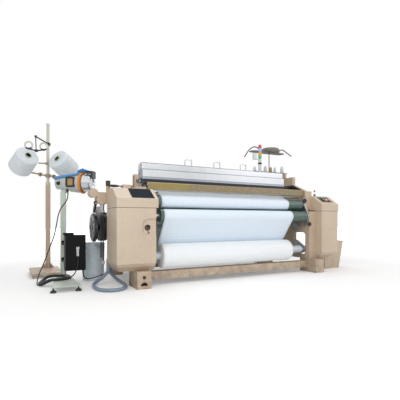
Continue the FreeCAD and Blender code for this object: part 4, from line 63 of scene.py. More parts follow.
def metres(places):
    """Places on the drawing, in the frame's metres: take off the foot's centre, divide by 1000."""
    return (np.asarray(places, float) - FOOT_CENTRE) / 1000


def placed(name, data):
    """A new object in the scene."""
    thing = bpy.data.objects.new(name, data)
    bpy.context.scene.collection.objects.link(thing)
    return thing


# %% [markdown]
# ## Camera
# The photograph was taken from low down on the left, level with the lower roller. Its camera
# was level too, so the picture's middle is raised with a lens shift, and posts stay upright.

# %% Camera
EYE = (-1.192, -3.638, 0.71)
HEADING = math.radians(-27.8)
LENS = 31.8
RISE = 0.051

camera = placed("camera", bpy.data.cameras.new("camera"))
camera.location = EYE
camera.rotation_euler = Euler((math.radians(90), 0, HEADING))
camera.data.lens = LENS
camera.data.sensor_width = 36
camera.data.shift_y = RISE
bpy.context.scene.camera = camera
bpy.context.scene.view_settings.view_transform = "Standard"
print("camera at", EYE)

# %% [markdown]
# ## Node trees in a few words
# Each finish is a small tree of shader nodes. These helpers add a node, set its plain sockets
# and join the others, so that a material reads as a list of what it is made of.

# %% Helpers for node trees
def add(tree, kind, settings=None, **sockets):
    """Add a node; a socket is joined to the input named, anything else is that input's value."""
    node = tree.nodes.new("ShaderNode" + kind)
    for key, value in (settings or {}).items():
        setattr(node, key, value)
    for key, value in sockets.items():
        numbered = key[0] == "i" and key[1:].isdigit()
        socket = node.inputs[int(key[1:]) if numbered else key.replace("_", " ")]
        if isinstance(value, bpy.types.NodeSocket):
            tree.links.new(value, socket)
        elif isinstance(value, tuple) and len(value) == 3 and len(socket.default_value) == 4:
            socket.default_value = (*value, 1)
        else:
            socket.default_value = value
    return node


def math_node(tree, operation, *values):
    """One arithmetic step on numbers or sockets."""
    return add(tree, "Math", {"operation": operation},
               **{f"i{k}": value for k, value in enumerate(values)}).outputs[0]


def times(tree, *values):
    """Product of numbers or sockets."""
    product = values[0]
    for value in values[1:]:
        product = math_node(tree, "MULTIPLY", product, value)
    return product


def times_plus(tree, value, factor, more):
    """value · factor + more."""
    return math_node(tree, "MULTIPLY_ADD", value, factor, more)


def vector_node(tree, operation, *values, out="Vector"):
    """One step on vectors; `out` is "Value" for a length, a distance or a dot product."""
    return add(tree, "VectorMath", {"operation": operation},
               **{f"i{k}": value for k, value in enumerate(values)}).outputs[out]


def scaled(tree, vector, factor):
    """A colour or vector times a number."""
    return add(tree, "VectorMath", {"operation": "SCALE"}, i0=vector, Scale=factor).outputs[0]


def part_of(tree, vector, axis):
    """One coordinate of a vector."""
    return add(tree, "SeparateXYZ", None, Vector=vector).outputs[axis]


def stretched(tree, vector, scale):
    """A vector with its own scale along each axis."""
    return add(tree, "Mapping", None, Vector=vector, Scale=scale).outputs[0]


def ramp(tree, factor, low, high, start=0.0, stop=1.0):
    """Map a value from low..high to start..stop, held at both ends."""
    return add(tree, "MapRange", None, Value=factor, From_Min=low, From_Max=high, To_Min=start,
               To_Max=stop).outputs["Result"]


def blend_colours(tree, factor, first, second, mode="MIX"):
    """Mix two colours by a factor."""
    node = tree.nodes.new("ShaderNodeMix")
    node.data_type = "RGBA"
    node.blend_type = mode
    for socket, value in ((node.inputs[0], factor), (node.inputs[6], first),
                          (node.inputs[7], second)):
        if isinstance(value, bpy.types.NodeSocket):
            tree.links.new(value, socket)
        else:
            socket.default_value = (*value, 1) if isinstance(value, tuple) else value
    return node.outputs[2]


def noise(tree, where, scale, detail=3.0, rough=0.5):
    """Cloudy noise, 0 to 1, at so many cells a metre."""
    return add(tree, "TexNoise", None, Vector=where, Scale=scale, Detail=detail,
               Roughness=rough).outputs["Fac"]


def group(name, colour, **numbers):
    """A new effect: takes a vector, a colour and numbers, gives a colour, roughness and height."""
    tree = bpy.data.node_groups.new(name, "ShaderNodeTree")

    def socket(key, way, kind):
        return tree.interface.new_socket(name=key, in_out=way, socket_type="NodeSocket" + kind)
    socket("Vector", "INPUT", "Vector")
    socket("Color", "INPUT", "Color").default_value = (*colour, 1)
    for key, value in numbers.items():
        socket(key, "INPUT", "Float").default_value = value
    for key, kind in (("Color", "Color"), ("Roughness", "Float"), ("Height", "Float")):
        socket(key, "OUTPUT", kind)
    return tree, tree.nodes.new("NodeGroupInput").outputs


def join(tree, node, **sockets):
    """Join sockets to a node's inputs."""
    for key, value in sockets.items():
        tree.links.new(value, node.inputs[key.replace("_", " ")])


def hand_out(tree, **sockets):
    """Join sockets to the group's outputs."""
    join(tree, tree.nodes.new("NodeGroupOutput"), **sockets)
    return tree


# %% [markdown]
# ## Effects that many finishes share
# *Enamel*: brushed-on machine paint is never one colour. It has broad clouds, a fine mottle,
# grime that gathers low down, and an orange-peel skin.
# *Grain*: machined or drawn metal has fine lines along one way, and smudges.
# *Mould*: plastic has a faint leather skin and dull patches where it is handled.
# *Thread*: yarn shows as fine parallel lines, each a little lighter or darker.

# %% Shared effects as node groups
def enamel_group():
    """Colour × (clouds, mottle), then grime near the floor; orange peel as height."""
    tree, start = group("enamel", (0.6, 0.5, 0.4), Roughness=0.4, Grime=0.35, Mottle=0.1)
    where = start["Vector"]
    clouds = noise(tree, where, 2.2, 3)
    mottle = noise(tree, where, 38, 4, 0.6)
    shade = ramp(tree, math_node(tree, "ADD", clouds, mottle), 0.65, 1.35, -1, 1)
    shade = times_plus(tree, shade, start["Mottle"], 1.0)
    low = ramp(tree, part_of(tree, where, "Z"), 0.30, 0.0)
    streaks = noise(tree, where, 14, 5, 0.65)
    grime = times(tree, low, ramp(tree, streaks, 0.35, 0.7), start["Grime"])
    specks = ramp(tree, noise(tree, where, 120, 2), 0.70, 0.78, 0, 0.35)
    grime = math_node(tree, "MAXIMUM", grime, times(tree, specks, start["Grime"]))
    colour = blend_colours(tree, grime, scaled(tree, start["Color"], shade), (0.10, 0.075, 0.05))
    rough = times_plus(tree, streaks, 0.16, start["Roughness"])
    rough = times_plus(tree, grime, 0.25, rough)
    peel = noise(tree, where, 420, 2)
    waves = noise(tree, where, 22, 2)
    return hand_out(tree, Color=colour, Roughness=rough,
                    Height=times_plus(tree, waves, 1.5, peel))


def grain_group():
    """Lines: noise on the vector times X, Y and Z lines a metre; smudges: broad noise."""
    tree, start = group("grain", (0.6, 0.6, 0.6), Roughness=0.3, Depth=0.12, X=9.0, Y=9.0, Z=9.0)
    scale = add(tree, "CombineXYZ", None, X=start["X"], Y=start["Y"], Z=start["Z"]).outputs[0]
    lines = noise(tree, stretched(tree, start["Vector"], scale), 1, 3, 0.7)
    shade = ramp(tree, lines, 0.25, 0.75, -1, 1)
    smudge = noise(tree, start["Vector"], 7, 4, 0.6)
    tone = times_plus(tree, shade, start["Depth"], 1.0)
    tone = times_plus(tree, ramp(tree, smudge, 0.3, 0.7, -1, 1), 0.05, tone)
    rough = times_plus(tree, smudge, 0.22, start["Roughness"])
    return hand_out(tree, Color=scaled(tree, start["Color"], tone), Height=lines,
                    Roughness=times_plus(tree, shade, 0.05, rough))


def mould_group():
    """A faint leather skin with handling marks."""
    tree, start = group("mould", (0.1, 0.1, 0.1), Roughness=0.45, Scale=900.0)
    where = start["Vector"]
    skin = add(tree, "TexVoronoi", None, Vector=where, Scale=start["Scale"]).outputs["Distance"]
    marks = noise(tree, where, 18, 4, 0.6)
    tone = ramp(tree, marks, 0.3, 0.7, 0.93, 1.07)
    return hand_out(tree, Color=scaled(tree, start["Color"], tone), Height=skin,
                    Roughness=times_plus(tree, marks, 0.16, start["Roughness"]))


def thread_group():
    """Lines across U: a wave for the height, and a shade that changes from line to line."""
    tree, start = group("thread", (0.9, 0.9, 0.9), Lines=700.0, Contrast=0.12)
    turns = times(tree, part_of(tree, start["Vector"], "X"), start["Lines"])
    wave = math_node(tree, "SINE", times(tree, turns, 2 * math.pi))
    line = math_node(tree, "FLOOR", turns)
    random = add(tree, "TexWhiteNoise", {"noise_dimensions": "1D"}, W=line).outputs["Value"]
    slow = noise(tree, start["Vector"], 9, 4, 0.6)
    tone = math_node(tree, "ADD", times(tree, random, 0.6), slow)
    tone = times_plus(tree, ramp(tree, tone, 0.3, 1.1, -1, 0.3), start["Contrast"], 1.0)
    return hand_out(tree, Color=scaled(tree, start["Color"], tone), Height=wave,
                    Roughness=ramp(tree, slow, 0.3, 0.7, 0.55, 0.75))


ENAMEL, GRAIN, MOULD, THREAD = enamel_group(), grain_group(), mould_group(), thread_group()
print("groups", [tree.name for tree in (ENAMEL, GRAIN, MOULD, THREAD)])


# %% [markdown]
# ## Finishes
# A material starts as a Principled BSDF and the object's own coordinates. Its group gives
# colour, roughness and height; a Bump node turns the height into a normal.

# %% The plain finishes
def new_material(name, **constants):
    """A Principled material; constants are set on the shader's own sockets."""
    material = bpy.data.materials.new(name)
    material.use_nodes = True
    tree = material.node_tree
    shader = tree.nodes["Principled BSDF"]
    for key, value in constants.items():
        shader.inputs[key.replace("_", " ")].default_value = value
    where = tree.nodes.new("ShaderNodeTexCoord").outputs["Object"]
    return material, tree, shader, where


def bumps(tree, strength, distance, height):
    """A normal from a height."""
    return add(tree, "Bump", None, Strength=strength, Distance=distance, Height=height).outputs[0]


def coated(name, effect, bump, distance, constants, uv=False, **inputs):
    """A material with one effect on the object's coordinates or its UV map; height as a bump."""
    material, tree, shader, where = new_material(name, **constants)
    if uv:
        where = add(tree, "UVMap", {"uv_map": "along"}).outputs["UV"]
    colour, rough, height = add(tree, "Group", {"node_tree": effect}, Vector=where,
                                **inputs).outputs
    join(tree, shader, Base_Color=colour, Roughness=rough,
         Normal=bumps(tree, bump, distance, height))
    return material


def paint(name, colour, rough=0.38, grime=0.35, mottle=0.07, coat=0.12):
    """Machine enamel, with a thin clear coat."""
    return coated(name, ENAMEL, 0.12, 0.002, {"Coat_Weight": coat, "Coat_Roughness": 0.25},
                  Color=colour, Roughness=rough, Grime=grime, Mottle=mottle)


def metal(name, colour, along, rough=0.25, depth=0.12, metallic=1.0, bump=0.12):
    """Bare metal with lines; `along` is how many lines a metre there are in X, Y and Z."""
    return coated(name, GRAIN, bump, 0.0005, {"Metallic": metallic}, Color=colour,
                  Roughness=rough, Depth=depth, **dict(zip("XYZ", along)))


def plastic(name, colour, rough=0.42, scale=900.0, bump=0.06, **constants):
    """Moulded plastic or rubber."""
    return coated(name, MOULD, bump, 0.0006, constants, Color=colour, Roughness=rough,
                  Scale=scale)


TAN = (0.57, 0.445, 0.33)
BEIGE = (0.61, 0.495, 0.37)
LOOKS = {
    paint: {"frame_paint": (TAN, 0.42, 0.75, 0.12),
            "cover_paint": (BEIGE, 0.36, 0.30, 0.035, 0.2),
            "motor_paint": ((0.26, 0.29, 0.31), 0.45, 0.6, 0.12),
            "black_paint": ((0.016, 0.017, 0.019), 0.38, 0.2, 0.2, 0.1),
            "pale_green_paint": ((0.60, 0.68, 0.60), 0.38, 0.3, 0.05)},
    metal: {"black_iron": ((0.03, 0.031, 0.034), (80, 80, 80), 0.35, 0.3, 0.4, 0.4),
            "steel": ((0.58, 0.59, 0.61), (900, 4, 4), 0.22),
            "stainless": ((0.62, 0.63, 0.64), (4, 500, 500), 0.24),
            "alloy": ((0.74, 0.76, 0.79), (3, 300, 300), 0.30, 0.08)},
    plastic: {"belt_rubber": ((0.022, 0.022, 0.023), 0.62, 500.0, 0.2),
              "cable_rubber": ((0.014, 0.014, 0.016), 0.45, 700.0, 0.1),
              "black_plastic": ((0.022, 0.022, 0.025), 0.42),
              "grey_plastic": ((0.68, 0.78, 0.84), 0.45, 500.0, 0.08),
              "orange_plastic": ((0.78, 0.27, 0.03), 0.32),
              "red_plastic": ((0.55, 0.02, 0.02), 0.22),
              "green_plastic": ((0.03, 0.40, 0.12), 0.25),
              "white_plastic": ((0.80, 0.80, 0.78), 0.28),
              "hose_plastic": ((0.22, 0.28, 0.36), 0.34, 600.0, 0.1)}}
FINISH = {name: kind(name, *values) for kind, table in LOOKS.items()
          for name, values in table.items()}
FINISH["panel_glass"] = plastic("panel_glass", (0.017, 0.023, 0.032), 0.34, 300.0, 0.01,
                                Specular_IOR_Level=0.02)


def finish(node, material):
    """Give a CAD node its finish."""
    thing = frame["nodes"][node]
    thing.data.materials.clear()
    thing.data.materials.append(material)


for part in frame["record"]["subparts"]:
    if part["material_slot"] in FINISH and part["node"] in frame["nodes"]:
        finish(part["node"], FINISH[part["material_slot"]])
print("plain finishes", len(FINISH))

# %% [markdown]
# ## Finishes that change over one casting
# Some castings carry two or three finishes: lamp lenses of four colours, a red ball on a steel
# rod, rubber on a steel roller. Each is still one piece, so a mask made from the object's
# coordinates says where each finish is.

# %% Masks, and a finish in zones
def line_distance(tree, where, axis, place):
    """Distance from a line along an axis, through a place: |(where - place) · (other axes)|."""
    keep = np.array([letter != axis for letter in "XYZ"], float)
    flat = vector_node(tree, "MULTIPLY_ADD", where, tuple(keep), tuple(-keep * metres(place)))
    return vector_node(tree, "LENGTH", flat, out="Value")


def less(tree, value, limit):
    """1 where the value is under the limit."""
    return math_node(tree, "LESS_THAN", value, limit)


def parted(name, zones, base, bump=0.1, **constants):
    """A finish in zones; each zone is (mask maker, colour, roughness, metallic)."""
    material, tree, shader, where = new_material(name, **constants)
    colour, rough, metallic = base
    tone, wear, height = add(tree, "Group", {"node_tree": ENAMEL}, Vector=where, Grime=0.2,
                             Color=(1.0, 1.0, 1.0), Roughness=0.0, Mottle=0.08).outputs
    steps = [colour, rough, metallic]
    for mask_of, *values in zones:
        mask = mask_of(tree, where)
        steps[0] = blend_colours(tree, mask, steps[0], values[0])
        for k in (1, 2):
            steps[k] = add(tree, "Mix", {"data_type": "FLOAT"}, i0=mask, i2=steps[k],
                           i3=values[k]).outputs[0]
    join(tree, shader, Base_Color=blend_colours(tree, 1.0, steps[0], tone, "MULTIPLY"),
         Roughness=math_node(tree, "ADD", steps[1], times(tree, wear, 0.6)), Metallic=steps[2],
         Normal=bumps(tree, bump, 0.002, height))
    return material


def over(axis, limit):
    """Mask: 1 past a limit on the drawing's X, Y or Z, in millimetres."""
    index = "XYZ".index(axis)
    edge = (limit - FOOT_CENTRE[index]) / 1000

    def mask(tree, where):
        return math_node(tree, "GREATER_THAN", part_of(tree, where, axis), edge)
    return mask


def near_axis(y, z, r):
    """Mask: 1 within r of a line along X."""
    return lambda tree, where: less(tree, line_distance(tree, where, "X", (0, y, z)), r / 1000)


def near_point(point, r):
    """Mask: 1 within r of a point."""
    return lambda tree, where: less(tree, vector_node(
        tree, "DISTANCE", where, tuple(metres(point)), out="Value"), r / 1000)


def both(first, second):
    """Mask: 1 where both are."""
    return lambda tree, where: times(tree, first(tree, where), second(tree, where))


def box_mask(tree, where, middle, half):
    """1 where |where - middle| is under half in X, Y and Z: the product of three tests."""
    away = vector_node(tree, "ABSOLUTE", vector_node(tree, "SUBTRACT", where, tuple(middle)))
    return times(tree, *(less(tree, part_of(tree, away, axis), float(size))
                         for axis, size in zip("XYZ", half)))


def inside(low, high):
    """Mask: 1 in the box between two places on the drawing."""
    low, high = metres(low), metres(high)
    return lambda tree, where: box_mask(tree, where, (low + high) / 2, (high - low) / 2)


def near_line(start, axis, r):
    """Mask: 1 within r of a line through a place: |d - (d·axis) axis| < r, past the place."""
    axis = tuple(np.asarray(axis) / np.linalg.norm(axis))

    def mask(tree, where):
        away = vector_node(tree, "SUBTRACT", where, tuple(metres(start)))
        along = vector_node(tree, "DOT_PRODUCT", away, axis, out="Value")
        aside = vector_node(tree, "DISTANCE", away, scaled(tree, axis, along), out="Value")
        ahead = math_node(tree, "GREATER_THAN", along, -HOLDER_BACK)
        return times(tree, less(tree, aside, r / 1000), ahead)
    return mask


HOLDER_BACK = 0.0084
FEEDER = (-590.0, 1038.0, 1156.0)
FEEDER_TURN = math.radians(-35)


def on_feeder(low, high):
    """Mask: 1 in a box in the feeder's own millimetres; the box turns with the feeder."""
    low, high = np.asarray(low) / 1000, np.asarray(high) / 1000

    def mask(tree, where):
        centre = tuple(metres(FEEDER))
        own = add(tree, "VectorRotate", {"rotation_type": "Z_AXIS"}, Vector=where, Center=centre,
                  Angle=-FEEDER_TURN).outputs[0]
        return box_mask(tree, own, np.asarray(centre) + (low + high) / 2, (high - low) / 2)
    return mask


def in_zones(node, base, *zones, **constants):
    """Give a CAD node a base finish and zones over it, the last zone on top."""
    finish(node, parted(node + "_finish", zones, base, **constants))


print("masks ready")

# %% [markdown]
# ## Lamps, top beam, heald frames and front cover
# The signal pole carries four lenses of coloured plastic, one on the other, and the top beam
# carries guide combs and a small housing, and a black rail and a black inner frame face that are
# painted shade. Each could be a piece of its own, but the drawing has one casting for each, so
# heights and boxes say where a colour starts.

# %% Zones on the lamps, the beams and the heald frames
BLACK, SILVER = (0.015, 0.016, 0.018), (0.62, 0.63, 0.65)
DULL_BLACK = (BLACK, 0.35, 0.0)
# Painted shade: a black for zones of the top beam that stand in for shade.
BLACK_SHADE = (BLACK, 0.35, 0.2)
LAMP_LOW, LAMP_H = 1600.0, 52.0
in_zones("signal_lamps", ((0.03, 0.50, 0.20), 0.12, 0.0), *(
    (over("Z", LAMP_LOW + (k + 1) * LAMP_H), colour, 0.12, 0.0)
    for k, colour in enumerate([(0.80, 0.33, 0.05), (0.34, 0.52, 0.85), (0.62, 0.02, 0.04)])),
    Coat_Weight=0.5)
POLE = ((0.66, 0.69, 0.70), 0.3, 0.0)
in_zones("signal_pole", POLE, (over("Z", LAMP_LOW - 78), BLACK, 0.3, 0.0),
         (over("Z", LAMP_LOW - 51), *POLE))

COMB = ((0.05, 0.05, 0.055), 0.4, 0.0)
in_zones("harness_beam", ((0.72, 0.74, 0.76), 0.3, 0.25),
         # Painted shade: the black rail stands in for the shaded gap under the heald frames.
         (inside((150, 464, 1140), (2481, 488, 1202)), *BLACK_SHADE),
         # Painted shade: the right frame's inner face, painted black.
         (inside((2475, 270, 1090), (2485, 670, 1226)), *BLACK_SHADE),
         (inside((150, 278, 1050), (210, 352, 1154)), (0.03, 0.031, 0.034), 0.3, 0.3),
         (inside((100, 405, 1130), (159.6, 442, 1200)), (0.10, 0.10, 0.105), 0.25, 0.8),
         (inside((150, 480, 888), (310, 640, 962)), *COMB),
         (inside((2300, 480, 888), (2490, 640, 962)), *COMB),
         (inside((150, 600, 1088), (232.5, 670, 1289)), (0.30, 0.31, 0.32), 0.3, 0.8))
FRAME_TOPS = (1320.0, 1400.0)
for node, top in zip(("heald_frames_front", "heald_frames_rear"), FRAME_TOPS):
    in_zones(node, ((0.60, 0.61, 0.63), 0.3, 0.6),
             (over("Z", top - 117.9), (0.36, 0.40, 0.46), 0.25, 0.6),
             (over("Z", top - 96), (0.14, 0.145, 0.155), 0.3, 0.4),
             (over("Z", top - 92), (0.66, 0.68, 0.71), 0.26, 0.5),
             (over("Z", top - 7), (0.20, 0.205, 0.215), 0.3, 0.5))
in_zones("breast_beam", ((0.30, 0.222, 0.062), 0.20, 0.0),
         (over("X", 700), (0.26, 0.195, 0.102), 0.22, 0.0),
         (inside((150, 200, 1020), (185.9, 280, 1140)), *DULL_BLACK), Coat_Weight=0.35)
print("lamps, beams and heald frames done")

# %% [markdown]
# ## Yarn stand, weft feeder and pump
# The feeder has a blue cover over a grey body with a bright drum, and stands turned on its
# post, so its boxes turn with it. Round the pump, painted iron, brass, steel and black plastic
# lie side by side, and places on the drawing tell them apart better than a picture would.

# %% Zones on the stands, the feeder and the pump
in_zones("control_box", ((0.009, 0.009, 0.010), 0.4, 0.0),
         (inside((-503, 574, 316), (-473, 611.6, 416)), SILVER, 0.22, 0.9),
         Specular_IOR_Level=0.10)
finish("creel_mast", paint("mast_paint", (0.66, 0.61, 0.52), 0.36, 0.2, 0.05))
EYELETS = ((-950, 1510, 1669), (-774, 1510, 1669))
in_zones("yarn_guide", ((0.02, 0.021, 0.022), 0.3, 0.2), *(
    (both(near_point(place, 58), over("Z", 1640)), (0.62, 0.60, 0.52), 0.35, 0.0)
    for place in EYELETS))
PACKAGES = (("left", (-998.0, 1750.0, 1488.0), (0.362, -0.749, 0.549)),
            ("right", (-512.0, 1660.0, 1469.0), (-0.679, -0.534, 0.504)))
BORE, LENGTH = 34.0, 265.0
# Painted shade: the spindle inside each tube's bore is near black, for the shade in the bore.
in_zones("creel_arms", ((0.40, 0.32, 0.22), 0.4, 0.0), *(
    (near_line(np.asarray(centre) - np.asarray(axis) / np.linalg.norm(axis) * LENGTH / 2, axis,
               BORE + 0.5), (0.02, 0.022, 0.02), 0.4, 0.0) for _, centre, axis in PACKAGES))
in_zones("selvage_stand", ((0.10, 0.10, 0.105), 0.3, 0.5),
         (inside((2486, 600, 1336), (2530, 760, 1419.5)), TAN, 0.4, 0.0))
in_zones("water_jet_pump", (TAN, 0.42, 0.0),
         (inside((-220, 430, 1020.2), (-160, 490, 1091)), (0.48, 0.34, 0.14), 0.25, 0.8),
         (inside((-220, 430, 1091), (-160, 490, 1152)), *DULL_BLACK),
         (inside((-342, 455, 796), (-310, 600, 935)), (0.035, 0.032, 0.030), 0.3, 0.4),
         (inside((-310, 430, 799), (-216, 478, 899.8)), (0.45, 0.45, 0.46), 0.25, 0.9),
         (inside((-290, 430, 270), (-220, 478, 799)), BLACK, 0.4, 0.0),
         (inside((-270, 430, 220), (-220, 478, 270)), (0.50, 0.50, 0.50), 0.3, 0.8),
         (inside((159, 350, 980), (290, 420, 1062)), SILVER, 0.2, 1.0))
in_zones("roller_brackets", ((0.36, 0.37, 0.385), 0.28, 0.75), *(
    (inside((x, y, z), (x + 80, y_stop, z_stop)), *DULL_BLACK) for x in (135, 2425)
    for y, z, y_stop, z_stop in ((166, 950, 184.1, 1020), (80, 620, 97.1, 700))), bump=0.25)
in_zones("feeder_body", ((0.52, 0.55, 0.53), 0.3, 0.0),
         (on_feeder((248, -110, -110), (370, 110, 110)), (0.66, 0.70, 0.74), 0.16, 0.75),
         (on_feeder((91.5, -130, -57), (198.5, -62, 63)), *DULL_BLACK),
         (on_feeder((110.5, -121.6, -37.5), (179.5, -62, 43.5)), (0.42, 0.27, 0.11), 0.35, 0.0),
         (on_feeder((-38, -130, -31), (8, -84, 15)), *DULL_BLACK),
         (inside((-556, 989, 1060), (-526, 1019, 1084)), BLACK, 0.4, 0.0))
in_zones("feeder_cover", ((0.010, 0.19, 0.52), 0.3, 0.0),
         (on_feeder((290, -80, 40), (400, 60, 135)), BLACK, 0.3, 0.0), Coat_Weight=0.2)
print("stands, feeder and pump done")

# %% [markdown]
# ## Levers, shafts, covers and rollers
# A roller shows bare steel where it runs in a bearing, so the distance from its axis parts the
# journal from the rubber. On the sheet covers, the seam and the edge of the recess carry painted
# shade: dark lines a few millimetres wide, on edges that the drawing already has. The lower
# chamfer, which faces the floor, is a darker tan as painted shade.

# %% Zones on the levers, shafts, covers and rollers
in_zones("stop_lever", ((0.55, 0.56, 0.58), 0.2, 1.0),
         (near_point((2660, 190, 1124), 14), (0.50, 0.02, 0.03), 0.12, 0.0), Coat_Weight=0.3)
in_zones("main_shaft", ((0.03, 0.031, 0.034), 0.2, 0.3),
         (over("X", -150), (0.56, 0.57, 0.59), 0.14, 1.0))
BEAM_Y, BEAM_Z = 1420.0, 560.0
in_zones("warp_beam", ((0.42, 0.44, 0.46), 0.22, 0.6),
         (near_axis(BEAM_Y, BEAM_Z, 38), (0.58, 0.59, 0.61), 0.16, 1.0))

# Painted shade: the dark brown below lines the seam between cover and console and the edge of the
# recess.
SEAM_Z, SEAM_SHADE = 840.0, ((0.16, 0.11, 0.07), 0.5, 0.0)
# Painted shade: the lower chamfer faces the floor, and the darker tan below stands for its shade.
CHAMFER_TOP, LOW_TAN_SHADE = 233.0, ((0.50, 0.385, 0.275), 0.34, 0.0)
RECESS_LEFT, RECESS_TOP, RECESS_R = 60.0, 722.0, 62.0
CORNER_X, CORNER_Z = RECESS_LEFT + RECESS_R, RECESS_TOP - RECESS_R
CONSOLE_LIP, CONSOLE_TOP, CONSOLE_RUN = 935.0, 1052.0, 180.0
SLOPE = math.atan2(CONSOLE_TOP - CONSOLE_LIP, CONSOLE_RUN)


def ring_at(x, z, r0, r1):
    """Mask: 1 between two radii round a line along Y."""
    def mask(tree, where):
        reach = line_distance(tree, where, "Y", (x, 0, z))
        return times(tree, less(tree, reach, r1 / 1000),
                     math_node(tree, "GREATER_THAN", reach, r0 / 1000))
    return mask


def above_slope(up):
    """Mask: 1 where a point stands over a console's sloping sheet: the plate for the buttons."""
    def mask(tree, where):
        out = np.array([0, -math.sin(SLOPE), math.cos(SLOPE)])
        away = vector_node(tree, "SUBTRACT", where, tuple(metres(out * up + (0, 0, CONSOLE_LIP))))
        height = vector_node(tree, "DOT_PRODUCT", away, tuple(out), out="Value")
        return math_node(tree, "GREATER_THAN", height, 0.0)
    return mask


def below(z):
    """Mask: 1 under a height."""
    return inside((-400, -1, 0), (3400, 600, z))


# Painted shade in the recess's edge: along its top, down its left side and round the corner
# between.
recess_shade_line = [
    (inside((CORNER_X, -1, RECESS_TOP - 3), (206, 2, RECESS_TOP + 3)), *SEAM_SHADE),
    (inside((RECESS_LEFT - 3, -1, 590), (RECESS_LEFT + 3, 2, CORNER_Z)), *SEAM_SHADE),
    (both(inside((RECESS_LEFT - 4, -1, CORNER_Z), (CORNER_X, 2, RECESS_TOP + 4)),
          ring_at(CORNER_X, CORNER_Z, RECESS_R - 3, RECESS_R + 3)), *SEAM_SHADE)]
button_plate = [(above_slope(1.0), (0.035, 0.033, 0.031), 0.3, 0.0)]
for side, on_cover, on_console in (("left", recess_shade_line, []), ("right", [], button_plate)):
    for node, zones in ((side + "_cover", [(below(CHAMFER_TOP), *LOW_TAN_SHADE),
                                           (over("Z", SEAM_Z - 3.5), *SEAM_SHADE), *on_cover]),
                        (side + "_console", [(below(SEAM_Z + 2.5), *SEAM_SHADE), *on_console])):
        in_zones(node, (BEIGE, 0.32, 0.0), *zones, Coat_Weight=0.2)

ROLLER_GREEN = (0.085, 0.135, 0.118)
MIDDLE_X = 1320.0
UPPER, LOWER, SURFACE = (222.0, 922.0), (143.0, 764.0), (303.35, 785.62)
UPPER_R, LOWER_R, SURFACE_R = 67.0, 70.0, 90.0
for node, axis, bare in (("press_roller_upper", UPPER, 34), ("press_roller_lower", LOWER, 36),
                         ("surface_roller", SURFACE, 46)):
    in_zones(node, (ROLLER_GREEN, 0.25, 0.0),
             (near_axis(*axis, bare), (0.60, 0.61, 0.63), 0.12, 1.0))
print("levers, covers and rollers done")

# %% [markdown]
# ## Surfaces from formulas
# A turned piece is a profile carried round an axis, and a sheet is a line carried sideways.
# Both are grids of points, so numpy works out all points at once and the faces join each
# point to its neighbours.

# %% Grids, turned pieces and meshes
def grid_faces(rows, columns, wrap_rows=False, wrap_columns=False):
    """Quads (r, c), (r+1, c), (r+1, c+1), (r, c+1); a wrapped side joins last to first."""
    r, c = np.meshgrid(np.arange(rows - (not wrap_rows)), np.arange(columns - (not wrap_columns)),
                       indexing="ij")
    r2, c2 = (r + 1) % rows, (c + 1) % columns
    corners = [r * columns + c, r2 * columns + c, r2 * columns + c2, r * columns + c2]
    return np.stack(corners, -1).reshape(-1, 4)


def turned(profile, centre, axis, count=64, ripple=None, closed=False):
    """Surface of revolution: centre + s·axis + r·(cos a·side + sin a·up), for (s, r) in mm.

    `ripple(a, s, r)` adds to the radius, so that wound yarn or cloth isn't perfectly round.
    A closed profile joins its last point to its first, like a ring's section.
    """
    axis = np.asarray(axis, float) / np.linalg.norm(axis)
    side = np.cross(axis, (0.0, 0.0, 1.0) if abs(axis[2]) < 0.9 else (0.0, 1.0, 0.0))
    side /= np.linalg.norm(side)
    up = np.cross(axis, side)
    profile = np.asarray(profile, float)
    angle = np.linspace(0, 2 * np.pi, count, endpoint=False)
    s, r = profile[:, None, 0], profile[:, None, 1] + 0 * angle[None]
    if ripple is not None:
        r = r + np.where(r > 1e-6, ripple(angle[None], s, r), 0)
    round_it = np.cos(angle)[None, :, None] * side + np.sin(angle)[None, :, None] * up
    points = np.asarray(centre, float) + s[..., None] * axis + r[..., None] * round_it
    return metres(points.reshape(-1, 3)), grid_faces(len(profile), count, closed, True)


def copies(surface, moves):
    """The same surface at many places; `moves` are shifts in millimetres."""
    points, faces = surface
    moves = np.asarray(moves, float).reshape(-1, 1, 3) / 1000
    step = np.arange(len(moves)).reshape(-1, 1, 1) * len(points)
    return (points[None] + moves).reshape(-1, 3), (faces[None] + step).reshape(-1, 4)


def piece(name, surfaces, material, body, outward=True, sharp=35, uv=None):
    """One object from several surfaces: doubles merged, faces outward, creases kept sharp."""
    points, faces, start = [], [], 0
    for verts, quads in surfaces:
        points.append(verts)
        faces.append(quads + start)
        start += len(verts)
    mesh = bpy.data.meshes.new(name)
    mesh.from_pydata(np.concatenate(points), [], np.concatenate(faces).tolist())
    if outward:
        work = bmesh.new()
        work.from_mesh(mesh)
        bmesh.ops.remove_doubles(work, verts=work.verts, dist=1e-6)
        bmesh.ops.recalc_face_normals(work, faces=work.faces)
        work.to_mesh(mesh)
        work.free()
    mesh.shade_smooth()
    mesh.set_sharp_from_angle(angle=math.radians(sharp))
    if uv is not None:
        layer = mesh.uv_layers.new(name="along")
        index = np.zeros(len(mesh.loops), np.int32)
        mesh.loops.foreach_get("vertex_index", index)
        layer.data.foreach_set("uv", np.ascontiguousarray(uv[index], np.float32).ravel())
    thing = placed(name, mesh)
    mesh.materials.append(material)
    if body:
        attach(thing, body)
    return thing


# %% [markdown]
# ## The feeder's cable
# One unbroken rubber cable runs from the gland under the weft feeder, down to the floor, round
# and round in a two-layer coil that lies half on the feeder's foot plate, and up into the plug
# on the control box. It is a curve: a smooth spline that has the route's points as its control
# points, with a round bevel.

